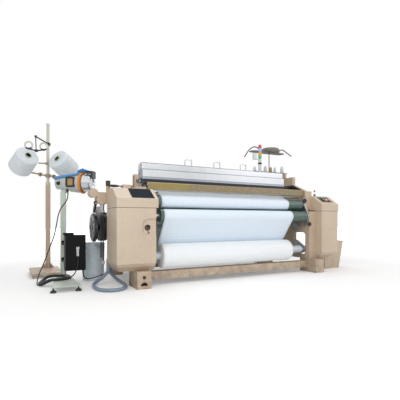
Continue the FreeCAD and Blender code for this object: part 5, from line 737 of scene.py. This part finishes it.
# %% Routes of the cables and the hose, and the coil
CABLE_D = 12.0
HOSE_D = 38.0
FEEDER_GLAND = (-541.0, 1004.0, 1066.0)
BOX_PLUG = (-488.0, 590.0, 318.0)
BOX_GLAND = (-424.0, 662.0, 146.0)
FRAME_GLAND = (-8.0, 882.0, 262.0)
DRAIN_FRONT = (-165.0, 500.0, 250.0)
DRAIN_REAR = (-136.0, 645.0, 226.0)
COIL_X, COIL_Y, COIL_OUT = -712.0, 745.0, 176.0
IN_TURNS, CLIMB, OUT_TURNS = 4.0, 0.5, 3.75
COIL_TOTAL = IN_TURNS + CLIMB + OUT_TURNS
COIL_PITCH, COIL_LAYER = 13.6, 13.2
COIL_LOW, COIL_HIGH = 6.3, 67.2
RAMP_LOW, RAMP_HIGH = -884.0, -752.0
TURN_POINTS = 20


def ease(part):
    """Smooth step from 0 to 1: 3p² − 2p³."""
    return 3 * part ** 2 - 2 * part ** 3


def coil_points(turn):
    """Centre line of the coil after so many turns.

    The radius falls by a pitch a turn to the inside, climbs a layer there, and grows again; the
    height follows the floor and the foot plate, eased between them.
    """
    inner = COIL_OUT - COIL_PITCH * IN_TURNS
    climb = np.clip((turn - IN_TURNS) / CLIMB, 0, 1)
    radius = np.where(turn < IN_TURNS, COIL_OUT - COIL_PITCH * turn,
                      inner + COIL_PITCH * np.maximum(turn - IN_TURNS - CLIMB, 0)
                      + COIL_PITCH * CLIMB * (climb ** 2 - climb))
    angle = 2 * np.pi * turn + np.pi
    x, y = COIL_X + radius * np.cos(angle), COIL_Y + radius * np.sin(angle)
    part = np.clip((x - RAMP_LOW) / (RAMP_HIGH - RAMP_LOW), 0, 1)
    slope = (COIL_HIGH - COIL_LOW) * 6 * part * (1 - part) / (RAMP_HIGH - RAMP_LOW)
    height = COIL_LOW + (COIL_HIGH - COIL_LOW) * ease(part)
    return np.stack([x, y, height + COIL_LAYER * ease(climb) * np.hypot(1, slope)], -1)


def heading(turn):
    """Unit direction of the coil's line."""
    line = coil_points(np.array([turn + 1e-4])) - coil_points(np.array([turn - 1e-4]))
    return (line / np.linalg.norm(line))[0]


coil_line = coil_points(np.linspace(0, COIL_TOTAL, round(COIL_TOTAL * TURN_POINTS) + 1))
coil_in = coil_line[0] - heading(0) * CABLE_D
coil_out = coil_line[-1] + heading(COIL_TOTAL) * CABLE_D
feeder_route = [FEEDER_GLAND, (-541, 1004, 1010), (-552, 990, 955), (-590, 960, 900),
                (-630, 935, 850), (-658, 915, 780), (-672, 905, 700), (-688, 900, 610),
                (-708, 900, 520), (-736, 905, 440), (-768, 910, 350), (-800, 920, 250),
                (-832, 930, 170), (-862, 925, 95), (-882, 890, 32),
                tuple(coil_in - heading(0) * 75), tuple(coil_in)]
box_route = [tuple(coil_out), tuple(coil_out + heading(COIL_TOTAL) * 75), (-556, 575, 92),
             (-515, 580, 140), (-497, 586, 205), (-488, 590, 260), BOX_PLUG]
power_route = [BOX_GLAND, (-424, 662, 99), (-403, 673, 58), (-366, 689, 40), (-308, 704, 44),
               (-240, 724, 58), (-180, 752, 72), (-112, 792, 94), (-58, 836, 120), (-18, 868, 158),
               (-8, 882, 206), FRAME_GLAND]
drain_route = [DRAIN_FRONT, (-165, 500, 185), (-188, 498, 130), (-236, 493, 82), (-296, 478, 46),
               (-348, 428, 24), (-374, 335, 19.3), (-380, 215, 19.3), (-368, 112, 19.3),
               (-326, 36, 19.3), (-250, -2, 19.3), (-164, 12, 19.3), (-102, 86, 19.3),
               (-64, 200, 19.3), (-50, 320, 19.3), (-54, 430, 23), (-74, 512, 38),
               (-100, 582, 70), (-124, 622, 108), (-136, 645, 160), DRAIN_REAR]
print("coil of", COIL_TOTAL, "turns")

# %% [markdown]
# ## From a route to a cord
# A cord could be a mesh swept along its route. A curve with a round bevel is kept instead,
# because its middle line stays one line that can be measured and bent. The boots under two of
# the glands are turned pieces whose ribs are a wave.

# %% Cables, drain hose and boots
def cord_curve(name, route, diameter, material, steps):
    """A NURBS curve of order 3 on the route's points, with a round bevel and capped ends."""
    data = bpy.data.curves.new(name, "CURVE")
    data.dimensions = "3D"
    line = data.splines.new("NURBS")
    line.points.add(len(route) - 1)
    line.points.foreach_set("co", np.c_[metres(route), np.ones(len(route))].ravel())
    line.order_u = 3
    line.use_endpoint_u = True
    line.resolution_u = steps
    data.bevel_depth = diameter / 2000
    data.bevel_resolution = 4
    data.use_fill_caps = True
    data.materials.append(material)
    thing = placed(name, data)
    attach(thing, "machine")
    return thing


def relief(name, gland, length, r_big, r_small):
    """A tapered, ribbed boot that hangs under a gland; the ribs are a wave on the taper."""
    s = np.linspace(0, length, 41)
    r = r_big + (r_small - r_big) * s / length + 0.7 * np.cos(2 * np.pi * s / 5.0)
    profile = np.r_[[(-3.0, r_small)], np.c_[s, r], [(length, r_small - 1)]]
    return piece(name, [turned(profile, gland, (0, 0, -1), 28)], FINISH["black_plastic"],
                 "machine")


feeder_boot = relief("feeder_cable_boot", FEEDER_GLAND, 38, 9.2, 6.9)
feeder_line = cord_curve("feeder_cable_line", [*feeder_route[:-1], *coil_line.tolist(),
                                               *box_route[1:]], CABLE_D, FINISH["cable_rubber"], 6)
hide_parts("feeder_cable", "cable_coil", "box_cable")
box_boot = relief("power_cable_boot", BOX_GLAND, 34, 9.2, 6.9)
power_line = cord_curve("power_cable_line", power_route, CABLE_D, FINISH["cable_rubber"], 8)
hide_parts("power_cable")
drain_line = cord_curve("drain_hose_line", drain_route, HOSE_D, FINISH["hose_plastic"], 10)
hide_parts("drain_hose")
print("cable points", len(feeder_route) + len(coil_line) + len(box_route) - 3)

# %% [markdown]
# ## Floor, backdrop and lights
# The photograph stands on white. The floor is a pale sheet that keeps the loom's shadow, and
# the world is white to the camera, to gloss and to glass, but only soft light to the loom.

# %% Stage
def stage_light(name, where, aim, size, power):
    """A square softbox that faces its aim."""
    data = bpy.data.lights.new(name, "AREA")
    data.size = size
    data.energy = power
    light = placed(name, data)
    light.location = where
    aim = np.asarray(aim, float) - where
    light.rotation_euler = Euler((math.atan2(math.hypot(aim[0], aim[1]), -aim[2]), 0,
                                  math.atan2(-aim[0], aim[1])))


world = bpy.data.worlds.new("studio")
bpy.context.scene.world = world
world.use_nodes = True
sky = world.node_tree
paths = sky.nodes.new("ShaderNodeLightPath").outputs
seen = paths["Is Camera Ray"]
for kind in ("Is Glossy Ray", "Is Transmission Ray"):
    seen = math_node(sky, "MAXIMUM", seen, paths[kind])
WORLD_LIGHT = 0.50
background = sky.nodes["Background"]
background.inputs["Color"].default_value = (1, 1, 1, 1)
sky.links.new(ramp(sky, seen, 0, 1, WORLD_LIGHT, 1.0), background.inputs["Strength"])

LOOM = (1.2, 0.3, 0.6)
for name, where, aim, size, power in (
        ("key", (-3.2, -4.2, 4.6), LOOM, 3.0, 110),
        ("fill", (5.2, -3.6, 3.2), LOOM, 3.0, 48),
        ("top", (1.2, 0.8, 5.2), (1.2, 0.6, 0.0), 3.5, 55),
        ("low", (0.4, -5.6, 1.3), (1.2, 0.2, 0.4), 3.0, 46),
        ("back", (1.0, 5.5, 3.5), (1.2, 1.0, 0.6), 3.0, 45)):
    stage_light(name, where, aim, size, power)

FLOOR_HALF = 30.0
spread = np.linspace(-1, 1, 9) ** 3 * FLOOR_HALF
fx, fy = np.meshgrid(spread, spread, indexing="ij")
floor_mesh = bpy.data.meshes.new("floor")
floor_mesh.from_pydata(np.stack([fx, fy, 0 * fx - 0.0005], -1).reshape(-1, 3), [],
                       grid_faces(9, 9).tolist())
floor = placed("floor", floor_mesh)
floor_finish, tree, shader, where = new_material(
    "floor", Roughness=0.7, Specular_IOR_Level=0.2, Emission_Color=(1, 1, 1, 1),
    Base_Color=(0.93, 0.93, 0.93, 1))
away = vector_node(tree, "DISTANCE", where, (1.0, 0.5, 0.0), out="Value")
rays = tree.nodes.new("ShaderNodeLightPath").outputs["Is Camera Ray"]
glow = times(tree, rays, ramp(tree, away, 3.0, 9.0, 0.16, 1.0))
join(tree, shader, Emission_Strength=glow)
floor_mesh.materials.append(floor_finish)
print("stage ready")

# %% [markdown]
# ## Cloth
# The cloth is woven at the fell, slides over a rest bar, runs down in front of the upper press
# roller, back round the driven surface roller, out over the lower one and back to the roll. Its
# section is a belt's: straight lines that touch the rollers, and arcs between them. The flat
# cut is 1.83 m wide and as long as that way.

# %% The way of a belt over round stops
CLOTH_X0, CLOTH_W, CLOTH_T = 330.0, 1830.0, 1.2
LAY = 0.3 + CLOTH_T / 2
ROLL_Y, ROLL_Z, ROLL_R, CORE_R = 210.0, 314.0, 137.0, 50.0
FELL = (380.0, 1045.0)
REST_BAR, REST_BAR_R = (330.0, 1031.5), 12.0
CLOTH_STOPS = [(*FELL, 0, 1), (*REST_BAR, REST_BAR_R + LAY, 1), (*UPPER, UPPER_R + LAY, 1),
               (*SURFACE, SURFACE_R + LAY, -1), (*LOWER, LOWER_R + LAY, 1),
               (ROLL_Y, ROLL_Z, ROLL_R + LAY, -1), (ROLL_Y - 150, ROLL_Z - 250, 0, 1)]


def touching_line(first, second):
    """Where a belt leaves one stop (y, z, r, turn) and reaches the next: their common tangent."""
    (y1, z1, r1, s1), (y2, z2, r2, s2) = first, second
    gap = math.hypot(y2 - y1, z2 - z1)
    lean = max(-1.0, min(1.0, (s1 * r1 - s2 * r2) / gap))
    angle = math.atan2(z2 - z1, y2 - y1) + math.asin(lean)
    n = np.array([-math.sin(angle), math.cos(angle)])
    return (y1, z1) - s1 * r1 * n, (y2, z2) - s2 * r2 * n


def belt_way(stops, step=6.0):
    """Points (y, z), normals and slack of a belt; slack is 0 on a stop and 1 in mid-air."""
    lines = [touching_line(a, b) for a, b in zip(stops, stops[1:])]
    points, slack = [], []
    for index, (leave, reach) in enumerate(lines):
        run = np.linalg.norm(reach - leave)
        t = np.linspace(0, 1, max(2, round(run / step / 2)))
        points.append(leave + t[:, None] * (reach - leave))
        slack.append(np.sin(np.pi * t) * min(1.0, run / 300))
        if index + 1 < len(lines):
            y, z, r, turn = stops[index + 1]
            a0 = math.atan2(reach[1] - z, reach[0] - y)
            nxt = lines[index + 1][0]
            sweep = (turn * (math.atan2(nxt[1] - z, nxt[0] - y) - a0)) % (2 * math.pi)
            a = a0 + turn * np.linspace(0, sweep, max(2, round(sweep * r / step)) + 1)[1:-1]
            points.append(np.c_[y + r * np.cos(a), z + r * np.sin(a)])
            slack.append(np.zeros(len(a)))
    points, slack = np.concatenate(points), np.concatenate(slack)
    kept = np.r_[True, np.linalg.norm(np.diff(points, axis=0), axis=1) > 1e-3]
    points, slack = points[kept], slack[kept]
    ahead = np.gradient(points, axis=0)
    ahead /= np.linalg.norm(ahead, axis=1)[:, None]
    return points, np.c_[-ahead[:, 1], ahead[:, 0]], slack


way, way_normal, way_slack = belt_way(CLOTH_STOPS)
on_roll = ~((way[:, 1] < ROLL_Z) & (way[:, 0] > ROLL_Y - 400))
way, way_normal, way_slack = way[on_roll], way_normal[on_roll], way_slack[on_roll]
way_length = np.r_[0, np.cumsum(np.linalg.norm(np.diff(way, axis=0), axis=1))]
print("cloth", CLOTH_W, "by", round(way_length[-1]), "mm")

# %% [markdown]
# The weave itself is far finer than a picture of the loom shows, so it goes into the material,
# on the cloth's own UV map in metres: warp and weft lines as two waves, faint bars where the
# beat changed, and a sheen. Pulls in the free lengths are real geometry: long shallow waves.

# %% Cloth
def weave_group():
    """Height sin u·sin v for the crossing threads, tone from warp streaks and weft bars."""
    tree, start = group("weave", (0.8, 0.85, 0.9), Threads=900.0, Contrast=0.05)
    where = start["Vector"]
    waves = [math_node(tree, "SINE", times(tree, part_of(tree, where, axis), start["Threads"],
                                           2 * math.pi)) for axis in "XY"]
    streak = noise(tree, stretched(tree, where, (260.0, 1.2, 1.0)), 1, 3, 0.7)
    bar = noise(tree, stretched(tree, where, (0.8, 90.0, 1.0)), 1, 3, 0.7)
    tone = ramp(tree, math_node(tree, "ADD", streak, bar), 0.7, 1.3, -1, 1)
    tone = times_plus(tree, tone, start["Contrast"], 1.0)
    return hand_out(tree, Color=scaled(tree, start["Color"], tone), Height=times(tree, *waves),
                    Roughness=ramp(tree, bar, 0.3, 0.7, 0.50, 0.62))


WEAVE = weave_group()
CLOTH_COLOUR = (0.78, 0.87, 0.96)


def cloth_material(name, colour, uv):
    """Woven filament cloth: weave group on the UV map or on the object, and a sheen."""
    return coated(name, WEAVE, 0.25, 0.0003, {"Sheen_Weight": 0.25, "Sheen_Roughness": 0.4},
                  uv, Color=colour)


CLOTH = cloth_material("woven_cloth", CLOTH_COLOUR, True)
across = np.linspace(0, 1, 61)
u, v = across[None, :] * CLOTH_W, way_length[:, None]
pull = way_slack[:, None] * (0.5 * np.sin(u / 61 + 0.004 * v) + 0.4 * np.sin(u / 137 + 1.3)
                             + 0.3 * np.sin(u / 29 + v / 90))
selvage = np.sin(v / 17) * 0.8 + np.sin(v / 5.3) * 0.4
x = CLOTH_X0 + u + selvage * (2 * across[None, :] - 1) ** 9
points = np.stack([x, way[:, None, 0] + pull * way_normal[:, None, 0],
                   way[:, None, 1] + pull * way_normal[:, None, 1]], -1)
cloth = piece("cloth_web", [(metres(points.reshape(-1, 3)), grid_faces(*points.shape[:2]))], CLOTH,
              "machine", outward=False,
              uv=np.stack([u + 0 * v, v + 0 * u], -1).reshape(-1, 2) / 1000)
thick = cloth.modifiers.new("thickness", "SOLIDIFY")
thick.thickness = CLOTH_T / 1000
thick.offset = 0
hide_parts("cloth_sheet")

# %% [markdown]
# The cloth roll is hundreds of layers. Its round side has the same pulls, and the ends show the
# edge of every layer as fine rings, so the profile of the end is a small saw.

# %% Cloth roll and its tube
ends = np.linspace(CORE_R + 1, ROLL_R - 26, 24)
saw = 7.0 - 0.9 * (np.arange(24) % 2)
half = CLOTH_W / 2
side = np.linspace(-half + 8, half - 8, 40)
left_end = np.c_[-half - saw, ends]
roll_profile = np.r_[left_end, [(-half - 3, ROLL_R - 14), (-half, ROLL_R - 6)],
                     np.c_[side, 0 * side + ROLL_R - 0.6],
                     [(half, ROLL_R - 6), (half + 3, ROLL_R - 14)], left_end[::-1] * (-1, 1)]
ROLL_MIDDLE = (CLOTH_X0 + half, ROLL_Y, ROLL_Z)


def roll_waves(a, s, r):
    """Shallow lengthwise pulls: sines round the roll that drift along it."""
    return (r > ROLL_R - 3) * (0.25 * np.sin(7 * a + s / 210) + 0.2 * np.sin(s / 47 + 2 * a))


ROLL_COLOUR = (0.90, 0.93, 0.95)
ROLL_CLOTH = cloth_material("rolled_cloth", ROLL_COLOUR, False)
roll = piece("cloth_roll_layers", [turned(np.r_[[(-half - 5, CORE_R - 2)], roll_profile,
                                                [(half + 5, CORE_R - 2)],
                                                [(0, CORE_R - 2.5)]], ROLL_MIDDLE, (1, 0, 0), 96,
                                          roll_waves)], ROLL_CLOTH, "cloth_roll")
CORE_HALF = 1156.0
core = piece("cloth_roll_tube", [turned([
    (-CORE_HALF, 0), (-CORE_HALF, 19), (-CORE_HALF + 2, 20), (-CORE_HALF + 60, 20),
    (-CORE_HALF + 62, 30), (-CORE_HALF + 80, 49), (-CORE_HALF + 84, CORE_R),
    (CORE_HALF - 84, CORE_R), (CORE_HALF - 80, 49), (CORE_HALF - 62, 30), (CORE_HALF - 60, 20),
    (CORE_HALF - 2, 20), (CORE_HALF, 19), (CORE_HALF, 0)], (MIDDLE_X, ROLL_Y, ROLL_Z),
    (1, 0, 0), 64)],
    metal("pale_tube", (0.60, 0.66, 0.71), (900, 4, 4), 0.35, 0.08, 0.35), "cloth_roll")
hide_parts("cloth_roll")
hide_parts("cloth_roll")
print("roll ready")

# %% [markdown]
# ## Warp
# The warp leaves the beam as hundreds of ends side by side. In front of the back rest they part:
# half pass through the eyes of the lowered heald frames and half through those of the raised
# ones, and meet again at the fell, where the reed beats them to cloth. Each end is a thin
# diamond-shaped strip.

# %% Warp ends
WARP_X0, WARP_X1 = 362.0, 2160.0
ENDS = 300
SPLIT = (830.0, 1045.0)
EYES = ((500.0, 1005.0), (532.0, 1085.0), (564.0, 1005.0), (596.0, 1085.0))
WIRE_LOW, WIRE_HIGH = 545.0, 131.0  # under the frame's top


def strips(xs, line, width, thick):
    """One diamond-section strip along a (y, z) line at each X, pinched to a point at its ends."""
    line = np.asarray(line, float)
    ahead = np.gradient(line, axis=0)
    ahead /= np.linalg.norm(ahead, axis=1)[:, None]
    n = np.c_[-ahead[:, 1], ahead[:, 0]]
    line, n = np.r_[line[:1], line, line[-1:]], np.r_[n[:1], n, n[-1:]]
    swell = np.ones(len(line))
    swell[[0, -1]] = 0
    ring_x = swell[:, None] * np.array([-width / 2, 0, width / 2, 0])
    ring_n = swell[:, None] * np.array([0, thick / 2, 0, -thick / 2])
    yz = line[:, None] + ring_n[..., None] * n[:, None]
    one = np.concatenate([ring_x[..., None], yz], -1)
    one = metres(one.reshape(-1, 3))
    return copies((one, grid_faces(len(line), 4, False, True)), np.c_[xs, 0 * xs, 0 * xs])


def thread_material(name, colour, lines=700.0, contrast=0.16, uv=False):
    """Yarn side by side or wound: the thread group on the object, or on a piece's own UV map."""
    return coated(name, THREAD, 0.3, 0.0004, {"Sheen_Weight": 0.3}, uv, Color=colour,
                  Lines=lines, Contrast=contrast)


yarn_finish = thread_material("warp_yarn", (0.74, 0.77, 0.78))
ends_x = np.linspace(WARP_X0, WARP_X1, ENDS)
pitch = ends_x[1] - ends_x[0]
lay = 0.8
YARN_R = 300.0
SHOWN_FROM = 600.0
REST, REST_R, REST_END = (1300.0, 1025.0), 50.0, (1285.0, 1070.0)
BEAM_STOP, REST_STOP = (BEAM_Y, BEAM_Z, YARN_R + lay, 1), (*REST, REST_R + lay, 1)
warp_way = belt_way([(BEAM_Y + YARN_R + lay, 160, 0, 1), BEAM_STOP, REST_STOP,
                     (*SPLIT, 0, 1)], 16.0)[0]
warp_way = warp_way[warp_way[:, 1] > SHOWN_FROM]
top_of_rest = int(np.argmax(warp_way[:, 1]))
leave_beam, reach_rest = touching_line(BEAM_STOP, REST_STOP)
for name, line, start, end in (
        ("warp_from_beam", warp_way[:top_of_rest + 1], leave_beam, reach_rest),
        ("warp_to_harness", warp_way[top_of_rest:], SPLIT, REST_END)):
    warp = piece(name, [strips(ends_x, line, pitch * 0.8, 0.9)], yarn_finish, None,
                 sharp=80)
    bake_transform(warp)
    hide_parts("warp_sheet")
for k, eye in enumerate(EYES):
    body = "front_heald_frames" if k % 2 == 0 else "rear_heald_frames"
    xs = ends_x[k::4]
    for name, stays, line in (
            ("behind", SPLIT, [SPLIT, np.add(SPLIT, eye) / 2, eye]),
            ("before", FELL, [eye, np.add(FELL, eye) / 2, FELL])):
        length = piece(f"warp_{name}_frame_{k + 1}", [strips(xs, line, pitch * 0.5, 0.7)],
                       yarn_finish, None, sharp=80)
        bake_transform(length)
    wires = np.sort(np.r_[xs, xs[:-1] + 2 * pitch])
    top = FRAME_TOPS[k % 2]
    line = [(eye[0], top - WIRE_LOW), (eye[0], top - WIRE_HIGH)]
    piece(f"heald_wires_{k + 1}", [strips(wires, line, 1.3, 0.8)], FINISH["stainless"], body,
          sharp=80)
YARN_HALF, BARREL_R, STEPS = 999.2, 112.0, 90
along = np.linspace(-YARN_HALF, YARN_HALF, STEPS)
beam_profile = np.r_[[(-YARN_HALF, BARREL_R)],
                     np.c_[along, YARN_R + 0.4 + 0.25 * np.cos(np.arange(STEPS) * 2.4)],
                     [(YARN_HALF, BARREL_R), (0, BARREL_R - 0.5)]]
piece("warp_beam_yarn", [turned(beam_profile, (MIDDLE_X, BEAM_Y, BEAM_Z), (1, 0, 0), 120)],
      yarn_finish, "warp_beam")
print("warp ends", ENDS)

# %% [markdown]
# ## Wound packages and spools
# A package is yarn wound to and fro on a tube, so its profile is turned round the tube's axis
# with a small ripple, and its own UV map counts millimetres along the profile for the threads.

# %% Packages on the yarn stand, spools in the tray
PACKAGE_YARN = thread_material("package_yarn", (0.76, 0.82, 0.85), 260.0, 0.10, True)
TAN_YARN = thread_material("tan_yarn", (0.50, 0.32, 0.12), 500.0, 0.12, True)
GREY_YARN = thread_material("grey_yarn", (0.21, 0.185, 0.155), 220.0, 0.35, True)
TUBE_GREEN = plastic("tube_green", (0.012, 0.045, 0.030), 0.4)
RIM_PALE = plastic("rim_pale", (0.52, 0.56, 0.36), 0.45)


def wound(name, profile, centre, axis, material, count=72, ripple=None):
    """Yarn on a closed profile, with U as the way along the profile in metres."""
    profile = np.asarray(profile, float)
    run = np.r_[0, np.cumsum(np.linalg.norm(np.diff(profile, axis=0), axis=1))] / 1000
    uv = np.stack([np.repeat(run, count), np.full(len(run) * count, 0.5)], -1)
    return piece(name, [turned(profile, centre, axis, count, ripple, True)], material, "machine",
                 sharp=50, uv=uv)


def crossed(a, s, r):
    """Ripple of cross-wound yarn: two helices of opposite hand, sin(3a + s/7) + sin(3a - s/7)."""
    return 0.35 * (np.sin(3 * a + s / 7) + np.sin(3 * a - s / 7)) + 0.3 * np.sin(s / 23 + 2 * a)


side_s = np.linspace(10, 249, 40)
package_profile = np.r_[[(1, BORE + 4.2), (0, BORE + 9), (-1.5, 90), (0, 138), (3, 146)],
                        np.c_[side_s, 150 - 6 * (side_s - 8) / 243],
                        [(256, 141), (262, 136), (265, 128), (266.5, 90), (265, BORE + 9),
                         (263, BORE + 4.2)]]
for label, centre, axis in PACKAGES:
    axis = np.asarray(axis) / np.linalg.norm(axis)
    base = centre - axis * LENGTH / 2
    yarn = wound(f"package_{label}_yarn", package_profile, base, axis, PACKAGE_YARN, 96, crossed)
    tube = piece(f"package_{label}_tube", [turned([
        (-8, BORE), (-8, BORE + 3), (-7, BORE + 4), (266, BORE + 4), (267, BORE + 3),
        (267, BORE)], base, axis, 64, None, True)], TUBE_GREEN, "machine")
    rim = piece(f"package_{label}_rim", [turned([
        (266.6, BORE - 0.1), (266.6, BORE + 4.4), (275, BORE + 4.6), (277, BORE + 4),
        (277.6, BORE + 2), (277, BORE), (275, BORE - 0.2)], base, axis, 64, None, True)],
        RIM_PALE, "machine")
    for thing in (yarn, tube, rim):
        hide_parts("yarn_packages")

TRAY_LEFT, TRAY_MIDDLE, TRAY_FLOOR = 1990.0, 745.0, 1422.5
SPOOLS = [(34, 26, 86), (234, 28, 112), (333, 25, 102), (414, 22, 102), (554, 30, 126)]
for k, (along, r, height) in enumerate(SPOOLS):
    foot = (TRAY_LEFT + along, TRAY_MIDDLE, TRAY_FLOOR)
    cone = np.array([(2, 0.4), (2, 0.93), (5, 1.0), (0.3 * height, 0.97), (0.5 * height, 0.93),
                     (0.62 * height, 0.88), (0.72 * height, 0.80), (0.80 * height, 0.68),
                     (0.86 * height, 0.52), (0.88 * height, 0.36), (0.87 * height, 0.32)])
    yarn = wound(f"spool_{k + 1}_yarn", cone * (1, r), foot, (0, 0, 1),
                 TAN_YARN if k == 2 else PACKAGE_YARN, 40)
    core = piece(f"spool_{k + 1}_core", [turned([
        (0.2, 0), (0.2, r * 0.6), (2, r * 0.6), (2.5, r * 0.42), (height * 0.87, r * 0.30),
        (height - 1, r * 0.27), (height, r * 0.22), (height, 0)], foot, (0, 0, 1), 32)],
        FINISH["white_plastic"], "machine")
    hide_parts("selvage_spools")
    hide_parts("selvage_spools")
wide = wound("wide_spool_yarn", [(0.3, 24), (0.3, 120), (3, 131), (10, 139), (24, 140), (40, 138.5),
                                 (52, 135), (60, 124), (67, 104), (72, 76), (75, 45), (76, 26),
                                 (60, 24)], (2315, TRAY_MIDDLE, 1730), (0, 0, 1), GREY_YARN, 96,
             lambda a, s, r: 1.2 * np.sin(5 * a + s / 9) * (r > 60))
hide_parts("selvage_spools")
print("packages and spools ready")

# %% [markdown]
# ## Bolts and screws
# A machine of cast plates and folded sheet is full of fasteners. Each kind is one small turned
# piece, a six-sided head on a round washer or a round screw head, and is copied to its places.

# %% Bolt and screw heads
def heads(name, places, axis, r, rise, sides=6, slot="steel"):
    """Heads of one size: a profile turned in `sides` steps, on a washer turned in 20."""
    places = np.asarray(places, float)
    head = turned([(0, 0), (0.6, r), (rise - 0.8, r), (rise, r * 0.84), (rise, 0)], places[0], axis,
                  sides)
    washer = turned([(-0.4, 0), (-0.4, r * 1.3), (1.0, r * 1.3), (1.2, r * 1.2), (1.2, 0)],
                    places[0], axis, 20)
    moves = places - places[0]
    return piece(name, [copies(head, moves), copies(washer, moves)], FINISH[slot], "machine")


def round_bearing(x, y, z, reach, turns=(0.5, 2.6, 4.7)):
    """Three places round a bearing, at a reach from its axis."""
    return [(x, y + reach * math.cos(a), z + reach * math.sin(a)) for a in turns]


BEARINGS = [(*UPPER, 36.0), (*SURFACE, 49.0), (*LOWER, 36.0)]
PIVOT_LOBE = (343.35, 715.62)
PLATE_X = 2476.0
for side, x, axis in (("left", 190.0, (1, 0, 0)), ("right", 2450.0, (-1, 0, 0))):
    around = sum((round_bearing(x, y, z, reach) for y, z, reach in BEARINGS), [])
    heads(f"bearing_screws_{side}", around, axis, 3.6, 4, 12)
    heads(f"plate_bolts_{side}", [(x, *PIVOT_LOBE), (x, 340, 404), (x, 340, 254)], axis, 11, 9)
heads("cover_screws", [(27, 0, 749), (27, 0, 412)], (0, -1, 0), 3.6, 1.6, 16, "frame_paint")
plate_places = [(305, 1128), (440, 1128), (440, 1190), (640, 1128), (640, 1195)]
heads("plate_screws", [(PLATE_X, *place) for place in plate_places], (-1, 0, 0), 5, 3, 12,
      "black_iron")
print("fasteners ready")
